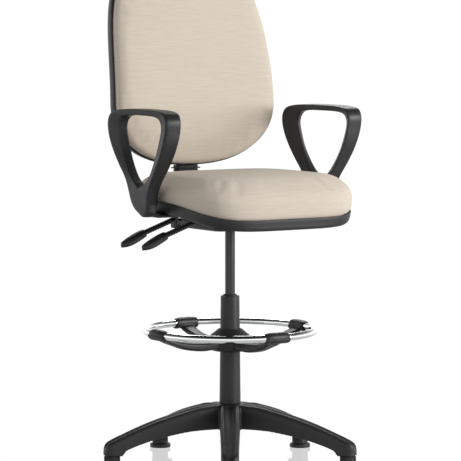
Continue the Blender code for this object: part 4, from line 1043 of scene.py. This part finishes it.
# ---------------------------------------------------------------- back
def back_line(z):
    """How far behind the column the cushion's front edge is at a height: most forward at the lumbar."""
    return BACK_FRONT_Y + BACK_SAG * (math.hypot(1, (z - BACK_LUMBAR_Z) / BACK_LUMBAR_SPAN) - 1)


def back_ring(inset, depth, scale=1.0, steps=180):
    """The back's outline seen from the front, moved in by inset and back by depth from the front edge."""
    ring = []
    for turn in all_round(steps):
        c, s = math.cos(turn), math.sin(turn)
        upper = s > 0
        power = BACK_UPPER_POWER if upper else BACK_LOWER_POWER
        half_z = (BACK_TOP - BACK_WAIST if upper else BACK_WAIST - BACK_BOTTOM) - inset
        reach = (abs(c / (BACK_HALF_WIDTH - inset)) ** power + abs(s / half_z) ** power) ** (-1 / power)
        rise = scale * reach * s
        taper = 1 - BACK_TAPER * max(rise, 0.0) ** 1.3
        z = BACK_WAIST + rise
        ring.append((scale * reach * c * taper, back_line(z) + depth, z))
    return ring


def across_back(inset, rows):
    """Rings that carry a surface of the back from its edge to its middle, from (scale, depth) rows."""
    return [back_ring(inset, depth, scale) for scale, depth in smoothed(rows, 4)]


BACK_COVER_INSET = 0.0025  # the cover starts this much inside its final shape
CUSHION_REAR = ((1.0, 0.0464), (0.7, 0.0464), (0.4, 0.0464), (0.1, 0.0464))
# The cushion's edge from the rear to the front, as far as the cover is held and where it swells
HELD_EDGE = ((0.0180, 0.0455), (0.0100, 0.0420), (0.0065, 0.0350), (0.0048, 0.0290), (0.0040, 0.0272))
FREE_EDGE = (
    (0.001, 0.0255), (-0.0008, 0.0225), (-0.0014, 0.018), (-0.0008, 0.013), (0.0016, 0.008),
    (0.006, 0.004), (0.012, 0.0014), (0.02, 0.0002), (0.03, -0.0006),
)
CUSHION_FACE = ((0.0430, -0.0010), (0.0600, -0.0008))
BACK_HOLLOW = ((1.0, -0.0008), (0.80, 0.0010), (0.55, 0.0036), (0.3, 0.0052), (0.06, 0.0058))


def make_back_cushion():
    rear = across_back(0.030, CUSHION_REAR)
    edge = [*HELD_EDGE, *((inset + BACK_COVER_INSET, depth) for inset, depth in FREE_EDGE), *CUSHION_FACE]
    rings = list(reversed(rear)) + [back_ring(inset, depth) for inset, depth in edge]
    rings += across_back(0.060, BACK_HOLLOW)[1:]
    cushion = make("back_upholstery", loft(rings), "fabric")

    def free(p):
        return 1.0 - step_up(p.y, back_line(p.z) + 0.0150, back_line(p.z) + 0.0260)

    swollen(cushion, 0.0035, free)
    refined(cushion)
    attach(cushion, "back_rest", "fabric", "back_cushion")


# The rear shell's outer face from the rim to the flat of its back: inset and depth
SHELL_OUTSIDE = (
    (0.0022, 0.028), (0.001, 0.0281), (0.0002, 0.0287), (-0.0003, 0.03), (-0.0005, 0.037),
    (0.0001, 0.044), (0.0014, 0.051), (0.004, 0.058), (0.0085, 0.065), (0.016, 0.0718), (0.027, 0.0776),
    (0.03, 0.0786), (0.0335, 0.079), (0.0375, 0.0812), (0.044, 0.0838), (0.052, 0.0858), (0.06, 0.0872),
)
SHELL_LINING = ((0.0028, 0.0286), (0.0031, 0.0370), (0.0044, 0.0485), (0.0112, 0.0620), (0.0322, 0.0758))
OUTER_CROWN = ((1.0, 0.0872), (0.75, 0.0916), (0.5, 0.0935), (0.25, 0.0940), (0.05, 0.0941))
INNER_CROWN = ((1.0, 0.0838), (0.75, 0.0884), (0.5, 0.0904), (0.25, 0.0909), (0.05, 0.0910))


def make_back_shell():
    """The rear shell: a thin dish with a rolled rim, a shallow step and a slot for the bar."""
    outer = [back_ring(*row) for row in SHELL_OUTSIDE] + across_back(0.060, OUTER_CROWN)[1:]
    inner = [back_ring(*row) for row in SHELL_LINING] + across_back(0.061, INNER_CROWN)
    shell = make("back_outer_shell", loft(list(reversed(inner)) + outer), "black_nylon")
    cut(shell, block(-0.034, 0.034, BAR_Y - 0.0105, BAR_Y + 0.0125, 0.80, 0.856, 0.004, 0.001))
    shaded(shell, 50)
    attach(shell, "back_rest", "black_nylon", "back_shell")


def bar_ring(y, z, angle):
    """The bar's section square to its path, which points back at angle 0 and up at a quarter turn."""
    wide, thick = BAR_HALF_WIDTH, BAR_HALF_THICKNESS
    flat = softened(-wide, wide, -thick, thick, 0.0022, 4)
    return [(x, y - t * math.sin(angle), z + t * math.cos(angle)) for x, t in flat]


EYE_BORE, EYE_RADIUS, EYE_HALF_LENGTH = 0.0053, 0.0115, 0.0285
BELLOWS_HALF_WIDTH, BELLOWS_HALF_DEPTH, BELLOWS_FOLDS = 0.0365, 0.015, 9
# One fold of the bellows: share of its height, and inset
FOLD_PROFILE = ((0.0, 0.0026), (0.22, 0.0004), (0.38, 0.0), (0.62, 0.0), (0.78, 0.0004))
FLANGE_LIP, FLANGE_HEIGHT = -0.0055, 0.003


def make_bar():
    """The flat bar that carries the back, with its eye round the tilt pin."""
    turn_y, turn_z = BAR_Y - BAR_BEND_RADIUS, BAR_Z + BAR_BEND_RADIUS
    rings = [bar_ring(TILT_Y + 0.0025, BAR_Z, 0)]
    for i in range(25):
        angle = math.pi / 2 * i / 24
        y = turn_y + BAR_BEND_RADIUS * math.sin(angle)
        rings.append(bar_ring(y, turn_z - BAR_BEND_RADIUS * math.cos(angle), angle))
    rings.append(bar_ring(BAR_Y, BAR_TOP, math.pi / 2))
    eye = tube_wall(EYE_BORE, EYE_RADIUS, -EYE_HALF_LENGTH, EYE_HALF_LENGTH)
    points, faces = turned(rounded(eye, 0.001, closed=True), 48, closed=True)
    eye = [(z, TILT_Y + x, TILT_Z + y) for x, y, z in points], faces
    piece("back_carrier_bar", joined([loft(rings), eye]), "back_tilt", "black_steel", "back_bar")


def make_bellows():
    """The bellows round the bar: folds up to a flange, and a plain neck over it."""
    step = (BELLOWS_FLANGE - BELLOWS_BOTTOM) / BELLOWS_FOLDS
    outline = []
    for fold in range(BELLOWS_FOLDS):
        outline += [(BELLOWS_BOTTOM + step * fold + share * step, inset) for share, inset in FOLD_PROFILE]
    lip = BELLOWS_FLANGE + FLANGE_HEIGHT
    outline += [(BELLOWS_FLANGE, 0.0026), (BELLOWS_FLANGE, -0.0048), (BELLOWS_FLANGE + 0.0007, FLANGE_LIP)]
    outline += [(lip - 0.0007, FLANGE_LIP), (lip, -0.0048), (lip, 0.0)]
    outline += [(BELLOWS_TOP - 0.001, 0.0), (BELLOWS_TOP, 0.001)]
    rings = []
    for z, inset in outline:
        wide, deep = BELLOWS_HALF_WIDTH - inset, BELLOWS_HALF_DEPTH - inset
        rings.append(plate(-wide, wide, BAR_Y - deep, BAR_Y + deep, z, 0.010))
    wide, thick = BAR_HALF_WIDTH + GAP, BAR_HALF_THICKNESS + GAP
    for z in (BELLOWS_TOP, BELLOWS_BOTTOM):
        rings.append(plate(-wide, wide, BAR_Y - thick, BAR_Y + thick, z, 0.002))
    piece("bar_gaiter", loft(rings, closed=True), "back_tilt", "rubber", "bar_bellows")


# ---------------------------------------------------------------- finishes of the carried-over CAD nodes
def finish_cad_nodes():
    """Each CAD node keeps its shape and gets the finish of its slot in the record."""
    for part in frame["record"]["subparts"]:
        finish = MATERIALS[part["material_slot"]]
        for slot in NODES[part["node"]].material_slots:
            slot.material = finish


# ---------------------------------------------------------------- studio
def make_floor():
    work = bmesh.new()
    bmesh.ops.create_grid(work, x_segments=8, y_segments=8, size=30)
    mesh = bpy.data.meshes.new("studio_floor")
    work.to_mesh(mesh)
    work.free()
    mesh.materials.append(studio_floor())
    floor = placed("studio_floor", mesh)
    floor.location = (0, 0, -0.0002)


def area_light(name, place, aim, extent, power):
    data = bpy.data.lights.new(name, "AREA")
    data.shape = "RECTANGLE"
    data.size, data.size_y = extent
    data.energy = power
    light = placed(name, data)
    light.location = Vector(place)
    light.rotation_euler = (Vector(aim) - Vector(place)).to_track_quat("-Z", "Y").to_euler()


# A low soft source in front, and one high behind that rims the tops: place, aim, size and power
LIGHTS = {
    "key": ((2.7, -3.5, 1.75), (0, 0, 0.90), (2.6, 1.6), 158),
    "rear": ((1.7, 2.6, 3.1), (0, 0, 0.30), (2.2, 1.2), 62),
}
# The surround's strength by height, from the horizon to overhead
SURROUND = ((0.00, 1.00), (0.16, 0.96), (0.42, 0.50), (0.80, 0.20), (1.00, 0.12))
SURROUND_STRENGTH = 1.5
GLOSS_CONTRAST = 1.6  # how much faster it darkens upwards in what polished parts mirror


def surround():
    """Light from all round: brightest at the horizon, and pure white to the camera."""
    n = Nodes("surround", "worlds")
    ray = n.add("ShaderNodeLightPath").outputs
    place = n.add("ShaderNodeTexCoord").outputs["Generated"]
    height = n.add("ShaderNodeSeparateXYZ", inputs={"Vector": place}).outputs["Z"]
    ramp = n.add("ShaderNodeValToRGB", inputs={"Fac": height})
    elements = ramp.color_ramp.elements
    while len(elements) < len(SURROUND):
        elements.new(0.5)
    for element, (position, strength) in zip(elements, SURROUND):
        element.position = position
        element.color = (strength, strength, strength, 1.0)
    steeper = n.math("MULTIPLY_ADD", ray["Is Glossy Ray"], GLOSS_CONTRAST, 1.0)
    light = n.math("POWER", ramp.outputs["Color"], steeper)
    back = n.add("ShaderNodeBackground", inputs={"Color": light, "Strength": SURROUND_STRENGTH})
    seen = n.add("ShaderNodeBackground", inputs={"Color": (1, 1, 1, 1)})
    n.show(ray["Is Camera Ray"], back.outputs["Background"], seen.outputs["Background"], "World Output")
    return n.data


def make_lights():
    for name, (spot, aim, extent, power) in LIGHTS.items():
        area_light(name, spot, aim, extent, power)
    bpy.context.scene.world = surround()
    bpy.context.scene.view_settings.view_transform = "Standard"


def make_camera():
    data = bpy.data.cameras.new("camera")
    data.lens, data.sensor_width = CAMERA_LENS, CAMERA_SENSOR
    camera = placed("camera", data)
    forward = Vector((math.sin(CAMERA_TURN), math.cos(CAMERA_TURN), 0))
    across = Vector((math.cos(CAMERA_TURN), -math.sin(CAMERA_TURN), 0))
    spot = POST - CAMERA_DISTANCE * forward + Vector((0, 0, CAMERA_HEIGHT))
    camera.location = spot + CAMERA_SHIFT * across
    camera.rotation_euler = (math.pi / 2 - CAMERA_PITCH, 0, -CAMERA_TURN)
    bpy.context.scene.camera = camera


# ---------------------------------------------------------------- main
make_camera()
make_lights()
make_floor()
finish_cad_nodes()
make_base()
make_column()
make_foot_ring()
make_shell()
make_seat_cushion()
make_mechanism()
for lever in LEVER_YS:
    make_lever(lever)
make_arms()
make_back_cushion()
make_back_shell()
make_bar()
make_bellows()
